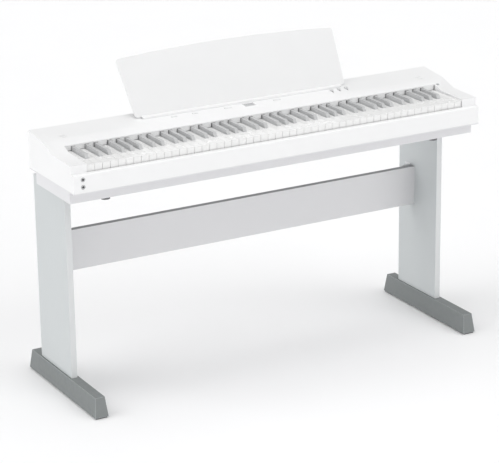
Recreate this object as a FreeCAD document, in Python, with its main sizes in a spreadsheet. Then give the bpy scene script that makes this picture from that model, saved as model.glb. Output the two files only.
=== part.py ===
"""Digital piano on a panel-leg stand, in millimetres.

+X runs to the player's right, the player sits on the -Y side, +Z is up.
The origin lies on the floor, below the middle of the whole object's box.
Every size is a cell of the sheet Sizes and every sub-part is bound to those cells.
The 88 keys are grouped by note name: all C keys are one node, all C sharp keys the next, and so on.
"""
import FreeCAD, Part
import math
import os
import re
import Sketcher

V = FreeCAD.Vector

SIZES = {
    # Whole instrument
    "body_width": 1322,        # case, end to end
    "body_depth": 293,         # case, front to rear
    "y_shift": -190,           # from the case front to the middle of the whole box
    "tray_bottom": 616,        # underside of the bottom tray above the floor
    "case_bottom": 650,        # lower edge of the case sides
    "slip_top": 705,
    "cheek_top": 728,
    "panel_foot": 131,         # where the cheeks start to rise, from the case front
    "panel_foot_top": 731,
    "panel_knee": 192,         # where the slope eases
    "panel_knee_top": 751,
    "rear_top": 762,
    "wall": 3,                 # moulded skins
    "fit_gap": 0.3,            # clearance between moving or dropped-in parts
    "lap": 1,                  # how far fused blocks run into each other, and cutters past a face
    # Case details
    "slip_depth": 17,
    "slip_edge_depth": 2,      # the key slip's bevelled top edge
    "slip_edge_drop": 3,
    "tray_front": 34,
    "tray_rear": 255,
    "tray_inset": 2,
    "well_gap": 1.5,           # between the end keys and the cheeks
    "panel_edge": 163,         # front edge of the control panel
    "flange": 3,
    "support_rib": 3,
    "end_rib_inset": 12,       # from the key well's sides to the outer ribs below the key frame
    "board_rib_front": 80,
    "board_rib_rear": 200,
    "board_rib_inset": 20,     # from the main board's sides to its ribs
    "post_width": 8,
    "post_depth": 10,
    # Keyboard
    "white_pitch": 23.5,
    "key_gap": 1,
    "white_front": 19.5,
    "head_cover": 4,           # how far the key heads reach below the control panel
    "white_top": 724,
    "key_height": 20,
    "black_front": 73.7,
    "black_rise": 12,
    "black_base": 11.6,
    "black_crown": 9.6,
    "black_slope": 7,
    "slot_gap": 1.2,           # between a black key's base and the white keys beside it
    "tail_gap": 3.3,           # between key tails, where the frame's brackets stand
    "key_rear": 247,
    "pivot_back": 235,
    "pivot_height": 712,
    "pivot_radius": 2.45,
    "running_gap": 0.05,
    # Hammer action
    "hammer_gap": 4.7,         # between hammers
    "contact_lead": 2,         # from a hammer's nose to its contact strip
    "contact_strip": 12,
    "contact_height": 3,
    "hammer_pivot_back": 125,
    "hammer_pivot_height": 664,
    "hammer_rod_radius": 2.05,
    "hammer_nose": 78,
    "hammer_tail": 232,
    "weight_front": 192,
    "weight_height": 20,
    "arm_height": 11,
    "pusher_front": 82,
    "pusher_rear": 90,
    "pusher_width": 6,
    "pusher_bottom": 671,
    # Key frame
    "frame_bottom": 640,
    "frame_top": 644,
    "frame_front": 40,
    "frame_rear": 249,
    "rail_depth": 14,
    "sensor_front_gap": 3,
    "sensor_rear_gap": 15,
    "bracket_sheet": 1.6,
    "hammer_rod_margin": 12,   # bracket sheet around the hammer rod
    "key_rod_margin": 7,       # bracket sheet around the key rod
    "felt_lead": 8,            # from a hammer weight's front to its felt
    "felt_edge": 2,            # from a felt's rear edge to what it sits on
    "down_felt_top": 694.6,
    "felt": 4,
    "board": 1.6,
    # Controls
    "control_line": 222,       # middle of the row of controls, from the case front
    "function_x": -239,
    "metronome_x": -171,
    "piano_x": -64,
    "layer_x": 99,
    "touch_gap": 0.1,          # between a button at full travel and its switch
    "tact_switch": 6,
    "button_depth": 6,
    "button_proud": 1.5,
    "button_travel": 0.8,
    "button_foot": 742.2,
    "wide_button": 24,
    "narrow_button": 18,
    "slider_slot": 26,
    "slider_stem": 2,
    "slider_foot": 743,
    "slider_cap": 8,
    "slider_lift": 0.6,
    "slider_height": 5,
    "slider_unit": 12,
    "slider_unit_height": 6,
    "slider_unit_floor": 1,
    "slider_play": 2,          # of the stem in its slot, across
    "slider_stem_extra": 2,    # depth of the stem beyond its width
    "slider_first": 286,
    "slider_pitch": 25,
    "power_inset": 9.5,        # from the key well's side to the power button
    "power_back": 160,
    "power_radius": 4.8,
    "switch_height": 714,
    "switch_tall": 7,
    "switch_wide": 9,
    "display_x": 6,
    "display_width": 38,
    "display_depth": 26,
    "window_thick": 2.5,
    "module_inset": 1,
    "control_board_top": 739.6,
    "board_front": 206,
    "board_rear": 238.5,
    "board_margin": 30,        # circuit board beyond the end controls
    "boss_radius": 3.5,
    "boss_1_x": -205,
    "boss_2_x": 60,
    "boss_3_x": 230,
    "boss_4_x": 352,
    # Music rest
    "rest_base_back": 250,
    "rest_gap": 1.6832,        # from the control panel up to the rest's base line
    "rest_lean": 32,           # degrees back from upright
    "rest_half_base": 348,
    "rest_half_top": 361,
    "rest_side": 180,
    "rest_crown": 14,
    "rest_sheet": 3,
    "rest_corner": 10,
    "holder_half": 330,
    "holder_front": 238,
    "holder_rear": 264,
    "holder_proud": 6,
    # Jacks and speakers
    "jack_inset": 21,          # from the key well's side to the headphone sockets
    "jack_upper": 691,
    "jack_lower": 670,
    "jack_radius": 5.5,
    "jack_flange": 6.2,
    "jack_flange_proud": 1.2,
    "jack_wall": 3,            # behind a socket
    "socket_radius": 3.3,
    "rear_jacks_x": -470,
    "rear_jacks_height": 676,
    "rear_plate_width": 150,
    "rear_cover_gap": 0.5,     # below the slope of the panel's inner face
    "rear_pitch": 27,
    "rear_plate_sunk": 0.5,
    "rear_socket_depth": 21,
    "rear_barrel_wall": 1,
    "speaker_x": 300,
    "speaker_height": 700,
    "speaker_width": 120,
    "speaker_tall": 62,
    "speaker_frame": 3,
    "basket_radius": 26,
    "basket_depth": 22,
    "magnet_radius": 21,
    "magnet_depth": 34,
    "slot_length": 90,
    "slot_pitch": 10,
    "slot_height": 4,
    "tweeter_inset": 71,
    "tweeter_back": 214,
    "tweeter_radius": 11,
    "tweeter_seat": 750,
    "tweeter_tall": 14,
    "main_board_bottom": 626,
    "main_board_gap": 24.75,   # from the key frame's left rib to the main board
    "main_board_width": 180,
    "main_board_front": 85,
    "main_board_rear": 195,
    "rubber_foot_inset": 121,
    "rubber_foot_front": 62,
    "rubber_foot_rear": 228,
    "rubber_foot_radius": 13.5,
    "rubber_foot_drop": 11,
    # Stand
    "stand_inset": 33,         # from the case's end to the side panel's outer face
    "panel_board": 18,
    "panel_front": 141,
    "panel_rear": 347,
    "foot_top": 61,
    "foot_bottom": 4,
    "foot_front": -34,
    "foot_rear": 414,
    "foot_end_slope": 10,
    "foot_width": 40.7,
    "foot_crest": 29.4,
    "foot_pad_width": 34,
    "foot_pad_length": 42,
    "foot_pad_inset": 3,
    "middle_pad_lead": 33,     # middle pad ahead of the side panel's front edge
    "back_board_front": 261,
    "back_board_thick": 19,
    "back_board_bottom": 337.5,
    "back_board_top": 458.5,
    "bracket_leg": 32,
    "bracket_hole": 19.2,      # screw holes from a bracket's corner
    "bracket_plate": 2,
    "bracket_width": 30,
    "lower_bracket_drop": 8,   # below the back board's lower edge
    "upper_bracket_rise": 4,   # above the back board's upper edge
    "top_bracket_inset": 25,
    "top_bracket_length": 70,
    "screw_radius": 2.2,
    "screw_head": 4.5,
    "screw_head_height": 2.4,
    "screw_length": 14,
    "thumb_radius": 3,
    "thumb_head": 9,
    "thumb_head_height": 8,
    "thumb_bite": 8,
    "foot_bolt_radius": 3.5,
    "foot_bolt_head": 7,
    "foot_bolt_head_height": 5,
    "foot_bolt_sunk": 1,
    "foot_bolt_inset": 35,
    "foot_bolt_bite": 40,
}

NATURALS = ("c", "d", "e", "f", "g", "a", "b")
# Centre of each black key from the octave's left edge, in white key pitches
SHARPS = {"c_sharp": 0.902, "d_sharp": 2.098, "f_sharp": 3.854, "g_sharp": 5.0, "a_sharp": 6.145}
# Place of each note in the twelve equal tail slots of an octave
SLOTS = (
    "c", "c_sharp", "d", "d_sharp", "e", "f", "f_sharp", "g", "g_sharp", "a", "a_sharp", "b",
)
# Notes that also have a key below the first full octave
LOW_NOTES = ("a", "a_sharp", "b")
FULL_OCTAVES = 7

doc = FreeCAD.newDocument("digital_piano")
sheet = doc.addObject("Spreadsheet::Sheet", "Sizes")
for row, (alias, value) in enumerate(SIZES.items(), start=1):
    sheet.set(f"A{row}", alias)
    sheet.set(f"B{row}", str(value))
    sheet.setAlias(f"B{row}", alias)
doc.recompute()

parts = []

# 26 white keys lie on each side of the middle
KEYS_LEFT = "(-26 * white_pitch)"
WELL_HALF = "(26 * white_pitch + well_gap)"
POWER_X = f"({WELL_HALF} + power_inset)"
JACK_X = f"(-{WELL_HALF} - jack_inset)"
HEADPHONE_HEIGHTS = ("jack_upper", "jack_lower")


# ---------------------------------------------------------------- helpers

def from_sheet(expression):
    """The expression with each alias read from the sheet."""
    return re.sub(
        r"[a-z][a-z0-9_]+[a-z]",
        lambda word: "Sizes." + word[0] if word[0] in SIZES else word[0],
        expression,
    )


def bind(item, prop, expression):
    item.setExpression(prop, from_sheet(expression))


def back(distance):
    """Y of a point that lies so far behind the case front."""
    return f"(y_shift + {distance})"


def object_name(label):
    """Name of the FreeCAD object behind a sub-part, such as VolumeSlider for volume_slider."""
    return label.title().replace("_", "")


def sub_part(item, label):
    """Names a finished piece; its label becomes its file name."""
    item.Label = label
    parts.append(item)
    return item


def box(name, x, y, z):
    """A block between pairs of expressions (low, high)."""
    block = doc.addObject("Part::Box", name)
    for prop, axis, (low, high) in (("Length", "x", x), ("Width", "y", y), ("Height", "z", z)):
        bind(block, prop, f"({high}) - ({low})")
        bind(block, f"Placement.Base.{axis}", low)
    return block


def cylinder(name, direction, radius, centre, low, high):
    """A round bar along x, y or z; centre gives the two other coordinates in order."""
    bar = doc.addObject("Part::Cylinder", name)
    bind(bar, "Radius", radius)
    bind(bar, "Height", f"({high}) - ({low})")
    if direction == "x":
        bar.Placement = FreeCAD.Placement(V(), FreeCAD.Rotation(V(0, 1, 0), 90))
        places = (low, centre[0], centre[1])
    elif direction == "y":
        bar.Placement = FreeCAD.Placement(V(), FreeCAD.Rotation(V(1, 0, 0), -90))
        places = (centre[0], low, centre[1])
    else:
        places = (centre[0], centre[1], low)
    for axis, place in zip("xyz", places):
        bind(bar, f"Placement.Base.{axis}", place)
    return bar


def fuse(name, pieces):
    joined = doc.addObject("Part::MultiFuse", name)
    joined.Shapes = pieces
    return joined


def group(name, pieces):
    """Separate solids that share one node."""
    together = doc.addObject("Part::Compound", name)
    together.Links = pieces
    return together


def cut(name, base, tools):
    left = doc.addObject("Part::Cut", name)
    left.Base = base
    left.Tool = tools[0] if len(tools) == 1 else fuse(name + "_tools", tools)
    return left


def new_body(name):
    body = doc.addObject("PartDesign::Body", name)
    body.AllowCompound = True
    return body


def origin_feature(body, role):
    return next(item for item in body.Origin.OriginFeatures if item.Role == role)


def new_sketch(body, name, plane, offset="0"):
    sketch = body.newObject("Sketcher::SketchObject", name)
    sketch.AttachmentSupport = (origin_feature(body, plane), [""])
    sketch.MapMode = "FlatFace"
    bind(sketch, "AttachmentOffset.Base.z", offset)
    return sketch


def pin_point(sketch, line, end, across, up):
    """Fixes one end of a line by its two distances from the sketch's origin."""
    for kind, expression in (("DistanceX", across), ("DistanceY", up)):
        index = sketch.addConstraint(Sketcher.Constraint(kind, -1, 1, line, end, 1.0))
        bind(sketch, f"Constraints[{index}]", expression)


def outline(sketch, corners):
    """A closed outline of straight lines through corners given as expression pairs."""
    count = len(corners)
    turn = 2 * math.pi / count
    spots = [V(math.cos(i * turn), math.sin(i * turn)) for i in range(count)]
    for i in range(count):
        sketch.addGeometry(Part.LineSegment(spots[i], spots[(i + 1) % count]))
    for i in range(count):
        sketch.addConstraint(Sketcher.Constraint("Coincident", i, 2, (i + 1) % count, 1))
    for i, (across, up) in enumerate(corners):
        pin_point(sketch, i, 1, across, up)


def hole_outline(sketch, across, up, radius):
    sketch.addGeometry(Part.Circle(V(1, 1), V(0, 0, 1), 1))
    pin_point(sketch, 0, 3, across, up)
    index = sketch.addConstraint(Sketcher.Constraint("Radius", 0, 1.0))
    bind(sketch, f"Constraints[{index}]", radius)


def pad(body, sketch, length, both_ways=False):
    feature = body.newObject("PartDesign::Pad", sketch.Name + "_pad")
    feature.Profile = sketch
    feature.SideType = "Symmetric" if both_ways else "One side"
    bind(feature, "Length", length)
    return feature


def pocket(body, sketch, length):
    """A pocket that cuts half its length to each side of its sketch."""
    feature = body.newObject("PartDesign::Pocket", sketch.Name + "_pocket")
    feature.Profile = sketch
    feature.SideType = "Symmetric"
    bind(feature, "Length", length)
    return feature


def prism(name, corners, low, high):
    """A body that runs along X from low to high, with its side outline given as (y, z) corners."""
    body = new_body(name)
    side = new_sketch(body, name + "Side", "YZ_Plane", low)
    outline(side, corners)
    pad(body, side, f"({high}) - ({low})")
    return body


def panel_height(distance):
    """Height of the rear part of the control panel, so far behind the case front."""
    slope = "((rear_top - panel_knee_top) / (body_depth - panel_knee))"
    return f"(panel_knee_top + ({distance} - panel_knee) * {slope})"


def cheek_height(distance):
    """Height of the sloped part of the case between the cheeks' flat top and the knee."""
    slope = "((panel_knee_top - panel_foot_top) / (panel_knee - panel_foot))"
    return f"(panel_foot_top + ({distance} - panel_foot) * {slope})"


def on_panel(near, far, under, over):
    """Side outline of a thing that follows the control panel's slope, from under it to over it."""
    return [
        (back(near), f"{panel_height(near)} - ({under})"),
        (back(far), f"{panel_height(far)} - ({under})"),
        (back(far), f"{panel_height(far)} + {over}"),
        (back(near), f"{panel_height(near)} + {over}"),
    ]


def span(centre, width):
    return f"({centre}) - ({width}) / 2", f"({centre}) + ({width}) / 2"


# Momentary buttons on the control panel: name, centre, width
BUTTONS = (
    ("function_button", "function_x", "narrow_button"),
    ("metronome_button", "metronome_x", "narrow_button"),
    ("piano_button", "piano_x", "wide_button"),
    ("layer_button", "layer_x", "wide_button"),
)
SLIDERS = ("volume_slider", "bass_slider", "treble_slider")
BOARD_BOSSES = ("boss_1_x", "boss_2_x", "boss_3_x", "boss_4_x")
SPEAKER_SLOTS = range(-2, 3)
REAR_SOCKETS = range(-2, 3)
SIDES = (("left", -1), ("right", 1))


def slider_x(index):
    return f"(slider_first + {index} * slider_pitch)"


def side_x(sign, distance):
    """X of a plane that lies distance from the middle, on the left (-1) or the right (1)."""
    return f"({sign} * ({distance}))"


def tweeter_centre(sign):
    return side_x(sign, "body_width / 2 - tweeter_inset"), back("tweeter_back")


POWER_CENTRE = (POWER_X, back("power_back"))


# ---------------------------------------------------------------- stand

def side_span(sign, near, far):
    """Low and high X between two distances from the middle."""
    low, high = (near, far) if sign > 0 else (far, near)
    return side_x(sign, low), side_x(sign, high)


PANEL_OUTER = "(body_width / 2 - stand_inset)"
PANEL_INNER = f"({PANEL_OUTER} - panel_board)"
PANEL_MIDDLE = f"({PANEL_OUTER} - panel_board / 2)"
BOARD_REAR = "(back_board_front + back_board_thick)"
FOOT_BOLTS = ("panel_front + foot_bolt_inset", "panel_rear - foot_bolt_inset")
# Lowest points of the two corner brackets on each side
CORNER_BRACKETS = (
    "back_board_bottom - lower_bracket_drop",
    "back_board_top + upper_bracket_rise - bracket_width",
)
TOP_BRACKET = "panel_front + top_bracket_inset"
TOP_BRACKET_MIDDLE = f"{TOP_BRACKET} + top_bracket_length / 2"


def x_cylinder(name, sign, radius, y, z, near, far):
    """A round bar along X between two distances from the middle."""
    low, high = side_span(sign, near, far)
    return cylinder(name, "x", radius, (y, z), low, high)


def panel_screw(sign, y, z):
    """Shank and head of a screw that goes through a bracket's leg into a side panel."""
    seat = f"{PANEL_INNER} - bracket_plate"
    shank = x_cylinder("PanelScrew", sign, "screw_radius", y, z, seat, f"{seat} + screw_length")
    head = x_cylinder("PanelScrewHead", sign, "screw_head", y, z, f"{seat} - screw_head_height", seat)
    return shank, head


def board_screw(sign, z):
    """Shank and head of a screw that goes through a bracket's leg into the back board."""
    centre = (side_x(sign, f"{PANEL_INNER} - bracket_hole"), z)
    seat = f"{BOARD_REAR} + bracket_plate"
    tip, top = back(f"{seat} - screw_length"), back(f"{seat} + screw_head_height")
    shank = cylinder("BoardScrew", "y", "screw_radius", centre, tip, back(seat))
    head = cylinder("BoardScrewHead", "y", "screw_head", centre, back(seat), top)
    return shank, head


def foot_bolt(sign, distance):
    """Shank and head of a bolt that goes up through a foot bar into its side panel."""
    centre = (side_x(sign, PANEL_MIDDLE), back(distance))
    under = "foot_bottom + foot_bolt_sunk"
    seat = f"{under} + foot_bolt_head_height"
    shank = cylinder("FootBolt", "z", "foot_bolt_radius", centre, seat, "foot_top + foot_bolt_bite")
    head = cylinder("FootBoltHead", "z", "foot_bolt_head", centre, under, seat)
    return shank, head


def thumb_screw(sign):
    """Shank and head of a thumb screw that goes up through a top bracket into the tray."""
    centre = (side_x(sign, f"{PANEL_INNER} - bracket_hole"), back(TOP_BRACKET_MIDDLE))
    seat = "tray_bottom - bracket_plate"
    shank = cylinder("ThumbScrew", "z", "thumb_radius", centre, seat, "tray_bottom + thumb_bite")
    head = cylinder("ThumbScrewHead", "z", "thumb_head", centre, f"{seat} - thumb_head_height", seat)
    return shank, head


def make_screws():
    """All the stand's screws, and the shanks and heads that cut holes in what they go through."""
    screws = []
    cuts = {"panel": {-1: [], 1: []}, "foot": {-1: [], 1: []}, "board": [], "bracket": [], "tray": []}

    def add(shank, head, *holes):
        screws.append(fuse("Screw", [shank, head]))
        for hole in holes:
            hole.append(shank)

    for _, sign in SIDES:
        in_panel, in_foot = cuts["panel"][sign], cuts["foot"][sign]
        for low in CORNER_BRACKETS:
            middle = f"{low} + bracket_width / 2"
            behind = back(f"{BOARD_REAR} + bracket_hole")
            add(*panel_screw(sign, behind, middle), in_panel, cuts["bracket"])
            add(*board_screw(sign, middle), cuts["board"], cuts["bracket"])
        below = "tray_bottom - bracket_hole"
        add(*panel_screw(sign, back(TOP_BRACKET_MIDDLE), below), in_panel, cuts["bracket"])
        add(*thumb_screw(sign), cuts["bracket"], cuts["tray"])
        for distance in FOOT_BOLTS:
            shank, head = foot_bolt(sign, distance)
            add(shank, head, in_panel, in_foot)
            in_foot.append(head)
    sub_part(group("StandScrews", screws), "stand_screws")
    return cuts


def make_panels_and_feet(cuts):
    for side, sign in SIDES:
        board = box(side + "Board", side_span(sign, PANEL_INNER, PANEL_OUTER),
                    (back("panel_front"), back("panel_rear")), ("foot_top", "tray_bottom"))
        sub_part(cut(side + "SidePanel", board, cuts["panel"][sign]), side + "_side_panel")
        sub_part(cut(side + "FootBar", foot_block(side, sign), cuts["foot"][sign]), side + "_foot_bar")


def make_back_board(cuts):
    plank = box("BackPlank", (f"-{PANEL_INNER}", PANEL_INNER),
                (back("back_board_front"), back(BOARD_REAR)),
                ("back_board_bottom", "back_board_top"))
    sub_part(cut("BackBoard", plank, cuts["board"]), "back_board")


def make_brackets(cuts):
    """Bent steel plates: four at the back board's ends and one at the top of each side panel."""
    corner_plates, top_plates = [], []
    behind = back(BOARD_REAR)
    board_leg_rear = back(f"{BOARD_REAR} + bracket_plate")
    panel_leg_rear = back(f"{BOARD_REAR} + bracket_leg")
    along = (back(TOP_BRACKET), back(f"{TOP_BRACKET} + top_bracket_length"))
    for _, sign in SIDES:
        on_panel_face = side_span(sign, f"{PANEL_INNER} - bracket_plate", PANEL_INNER)
        whole_leg = side_span(sign, f"{PANEL_INNER} - bracket_leg", PANEL_INNER)
        for low in CORNER_BRACKETS:
            height = (low, f"{low} + bracket_width")
            corner_plates.append(fuse("CornerPlate", [
                box("BoardLeg", whole_leg, (behind, board_leg_rear), height),
                box("PanelLeg", on_panel_face, (behind, panel_leg_rear), height),
            ]))
        top_plates.append(fuse("TopPlate", [
            box("TrayLeg", whole_leg, along, ("tray_bottom - bracket_plate", "tray_bottom")),
            box("PanelLeg", on_panel_face, along, ("tray_bottom - bracket_leg", "tray_bottom")),
        ]))
    plates = group("BracketPlates", corner_plates + top_plates)
    sub_part(cut("StandBrackets", plates, cuts["bracket"]), "stand_brackets")


def make_foot_pads():
    middle = "panel_front - middle_pad_lead"
    starts = ("foot_front + foot_pad_inset", middle, "foot_rear - foot_pad_inset - foot_pad_length")
    pads = []
    for _, sign in SIDES:
        across = span(side_x(sign, PANEL_MIDDLE), "foot_pad_width")
        for start in starts:
            along = (back(start), back(f"{start} + foot_pad_length"))
            pads.append(box("FootPad", across, along, ("0", "foot_bottom")))
    sub_part(group("FootPads", pads), "foot_pads")


def foot_block(side, sign):
    """A bar that narrows upwards, with sloped ends."""
    bar = doc.addObject("Part::Wedge", side + "FootBlock")
    centre = side_x(sign, PANEL_MIDDLE)
    bar.Placement = FreeCAD.Placement(V(), FreeCAD.Rotation(V(1, 0, 0), 90))
    for prop, expression in (
            ("Xmin", "-foot_width / 2"), ("Xmax", "foot_width / 2"),
            ("X2min", "-foot_crest / 2"), ("X2max", "foot_crest / 2"),
            ("Ymin", "foot_bottom"), ("Ymax", "foot_top"),
            ("Zmin", f"-{back('foot_rear')}"), ("Zmax", f"-{back('foot_front')}"),
            ("Z2min", f"-{back('foot_rear - foot_end_slope')}"),
            ("Z2max", f"-{back('foot_front + foot_end_slope')}")):
        bind(bar, prop, expression)
    bind(bar, "Placement.Base.x", centre)
    return bar


# ---------------------------------------------------------------- case

def case_outline(inset, front, rear, bottom):
    """Side outline of the upper case between front and rear, with its top moved down by inset."""
    return [
        (back(front), bottom),
        (back(front), f"cheek_top - {inset}"),
        (back("panel_foot"), f"panel_foot_top - {inset}"),
        (back("panel_knee"), f"panel_knee_top - {inset}"),
        (back(rear), f"rear_top - {inset}"),
        (back(rear), bottom),
    ]


THROUGH_PANEL = ("panel_knee_top - 2 * wall", "rear_top")
THROUGH_REAR = (back("body_depth - wall - lap"), back("body_depth + lap"))


def panel_hole(name, x, width, depth):
    """A cutter through the control panel on the line of the controls."""
    return box(name, span(x, width), span(back("control_line"), depth), THROUGH_PANEL)


def case_shell():
    """The hollow case, open below and behind, with its key well cut out and a wall on each side of it."""
    body = new_body("CaseShell")
    shell = new_sketch(body, "CaseOutline", "YZ_Plane")
    outline(shell, case_outline("0", "slip_depth", "body_depth", "case_bottom + flange"))
    pad(body, shell, "body_width", True)
    inside = new_sketch(body, "CaseInside", "YZ_Plane")
    outline(inside, case_outline("wall", "slip_depth + wall", "body_depth + lap", "case_bottom"))
    pocket(body, inside, "body_width - 2 * wall")
    well = new_sketch(body, "KeyWell", "YZ_Plane")
    outline(well, [
        (back("slip_depth - lap"), "case_bottom"),
        (back("panel_edge"), "case_bottom"),
        (back("panel_edge"), "rear_top"),
        (back("slip_depth - lap"), "rear_top"),
    ])
    pocket(body, well, f"2 * {WELL_HALF}")
    for name, start in (("LeftWellWall", f"-{WELL_HALF} - wall"), ("RightWellWall", WELL_HALF)):
        cheek = new_sketch(body, name, "YZ_Plane", start)
        outline(cheek, [
            (back("slip_depth"), "case_bottom + flange"),
            (back("panel_edge"), "case_bottom + flange"),
            (back("panel_edge"), cheek_height("panel_edge") + " - wall / 2"),
            (back("panel_foot"), "panel_foot_top - wall / 2"),
            (back("slip_depth"), "cheek_top - wall / 2"),
        ])
        pad(body, cheek, "wall")
    return body


def board_bosses():
    """Posts below the control panel that hold the control board."""
    place = "board_rear - boss_radius"
    top = f"{panel_height(place)} - wall / 2"
    return [
        cylinder("BoardBoss", "z", "boss_radius", (x, back(place)), "control_board_top", top)
        for x in BOARD_BOSSES
    ]


def control_holes():
    """Cutters for the buttons, sliders, display and power button."""
    button_depth = "button_depth + 2 * fit_gap"
    holes = [panel_hole("ButtonHole", x, f"{width} + 2 * fit_gap", button_depth)
             for _, x, width in BUTTONS]
    holes += [panel_hole("SliderHole", slider_x(index), "slider_stem + slider_play", "slider_slot")
              for index in range(len(SLIDERS))]
    holes.append(panel_hole("DisplayHole", "display_x", "display_width", "display_depth"))
    holes.append(cylinder("PowerHole", "z", "power_radius + fit_gap", POWER_CENTRE,
                          "cheek_top - wall", "rear_top"))
    return holes


def make_upper_case():
    tweeter_holes = [cylinder("TweeterHole", "z", "tweeter_radius", tweeter_centre(sign), *THROUGH_PANEL)
                     for _, sign in SIDES]
    solid = fuse("ShellAndBosses", [case_shell()] + board_bosses())
    sub_part(cut("UpperCase", solid, control_holes() + tweeter_holes), "upper_case")


# Height of the plates that close the case behind, which stand on the tray's flange
REAR_HEIGHT = ("case_bottom + flange", "rear_top - wall - rear_cover_gap")


def make_rear_covers():
    """Two plates that close the case behind, one on each side of the jack plate, slotted for sound."""
    end = "(body_width / 2 - wall)"
    plate_left, plate_right = span("rear_jacks_x", "rear_plate_width")
    depth = (back("body_depth - wall"), back("body_depth"))
    plates = [box("RearCoverBlock", across, depth, REAR_HEIGHT)
              for across in ((f"-{end}", plate_left), (plate_right, end))]
    slots = []
    for _, sign in SIDES:
        for step in SPEAKER_SLOTS:
            height = span(f"speaker_height + {step} * slot_pitch", "slot_height")
            slots.append(box("SpeakerSlot", span(side_x(sign, "speaker_x"), "slot_length"),
                             THROUGH_REAR, height))
    sub_part(cut("RearCovers", group("RearCoverPlates", plates), slots), "rear_covers")


def make_key_slip():
    """A box along the front of the keys, bevelled at its top edge and open to the rear."""
    low = "case_bottom + flange"
    front_and_top = [
        (back("0"), low),
        (back("0"), "slip_top - slip_edge_drop"),
        (back("slip_edge_depth"), "slip_top"),
        (back("slip_depth"), "slip_top"),
    ]
    rail = prism("SlipRail", front_and_top + [
        (back("slip_depth"), "slip_top - wall"),
        (back("wall"), "slip_top - wall"),
        (back("wall"), f"{low} + wall"),
        (back("slip_depth"), f"{low} + wall"),
        (back("slip_depth"), low),
    ], "-body_width / 2", "body_width / 2")
    outside = front_and_top + [(back("slip_depth"), low)]
    ends = [prism("SlipEnd", outside, "-body_width / 2", "wall - body_width / 2"),
            prism("SlipEnd", outside, "body_width / 2 - wall", "body_width / 2")]
    through = (back("-lap"), back("wall + lap"))
    holes = [cylinder("JackHole", "y", "jack_radius", (JACK_X, height), *through)
             for height in HEADPHONE_HEIGHTS]
    sub_part(cut("KeySlip", fuse("SlipBox", [rail] + ends), holes), "key_slip")


# The main board lies beside the rib that carries the key frame's left quarter
MAIN_BOARD_LEFT = f"(support_rib / 2 + main_board_gap - {WELL_HALF} / 2)"
MAIN_BOARD_RIGHT = f"({MAIN_BOARD_LEFT} + main_board_width)"


def tray_supports():
    """Ribs below the key frame and the main board, and the post of the power switch."""
    floor = "tray_bottom + wall / 2"
    along = (back("tray_front + wall / 2"), back("tray_rear - wall / 2"))
    end = f"({WELL_HALF} - end_rib_inset)"
    frame_ribs = (f"-{end}", f"-{WELL_HALF} / 2", "0", f"{WELL_HALF} / 2", end)
    ribs = [box("FrameRib", span(x, "support_rib"), along, (floor, "frame_bottom")) for x in frame_ribs]
    along = (back("board_rib_front"), back("board_rib_rear"))
    board_ribs = (f"{MAIN_BOARD_LEFT} + board_rib_inset", f"{MAIN_BOARD_RIGHT} - board_rib_inset")
    ribs += [box("MainBoardRib", span(x, "support_rib"), along, (floor, "main_board_bottom"))
             for x in board_ribs]
    ribs.append(box("SwitchPost", span(POWER_X, "post_width"), span(back("power_back"), "post_depth"),
                    (floor, "switch_height")))
    return ribs


def make_bottom_case(thumb_shanks):
    """The tray below the case with its flange plate, hollow inside."""
    half = "(body_width / 2 - tray_inset)"
    tray = box("Tray", (f"-{half}", half), (back("tray_front"), back("tray_rear")),
               ("tray_bottom", "case_bottom + flange"))
    plate = box("FlangePlate", ("-body_width / 2", "body_width / 2"), (back("0"), back("body_depth")),
                ("case_bottom", "case_bottom + flange"))
    hollow = box("TrayHollow", (f"-{half} + wall", f"{half} - wall"),
                 (back("tray_front + wall"), back("tray_rear - wall")),
                 ("tray_bottom + wall", "slip_top"))
    shell = cut("TrayShell", fuse("TrayAndFlange", [tray, plate]), [hollow] + thumb_shanks)
    sub_part(fuse("BottomCase", [shell] + tray_supports()), "bottom_case")


# The rest turns about -X, so that its top goes to the rear; the sheet sets the angle
LEAN_BACK = FreeCAD.Rotation(V(-1, 0, 0), SIZES["rest_lean"])
REST_BASE = f"({panel_height('rest_base_back')} + rest_gap)"
# Y part of a unit tangent, above which an edge runs through the sheet's thickness
ALONG_Y = 0.99


def lean_back(item):
    """Leans an upright piece back about X and stands it on the rest's base line."""
    item.Placement = FreeCAD.Placement(V(), LEAN_BACK)
    bind(item, "Placement.Rotation.Angle", "rest_lean")
    bind(item, "Placement.Base.y", back("rest_base_back"))
    bind(item, "Placement.Base.z", REST_BASE)


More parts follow.
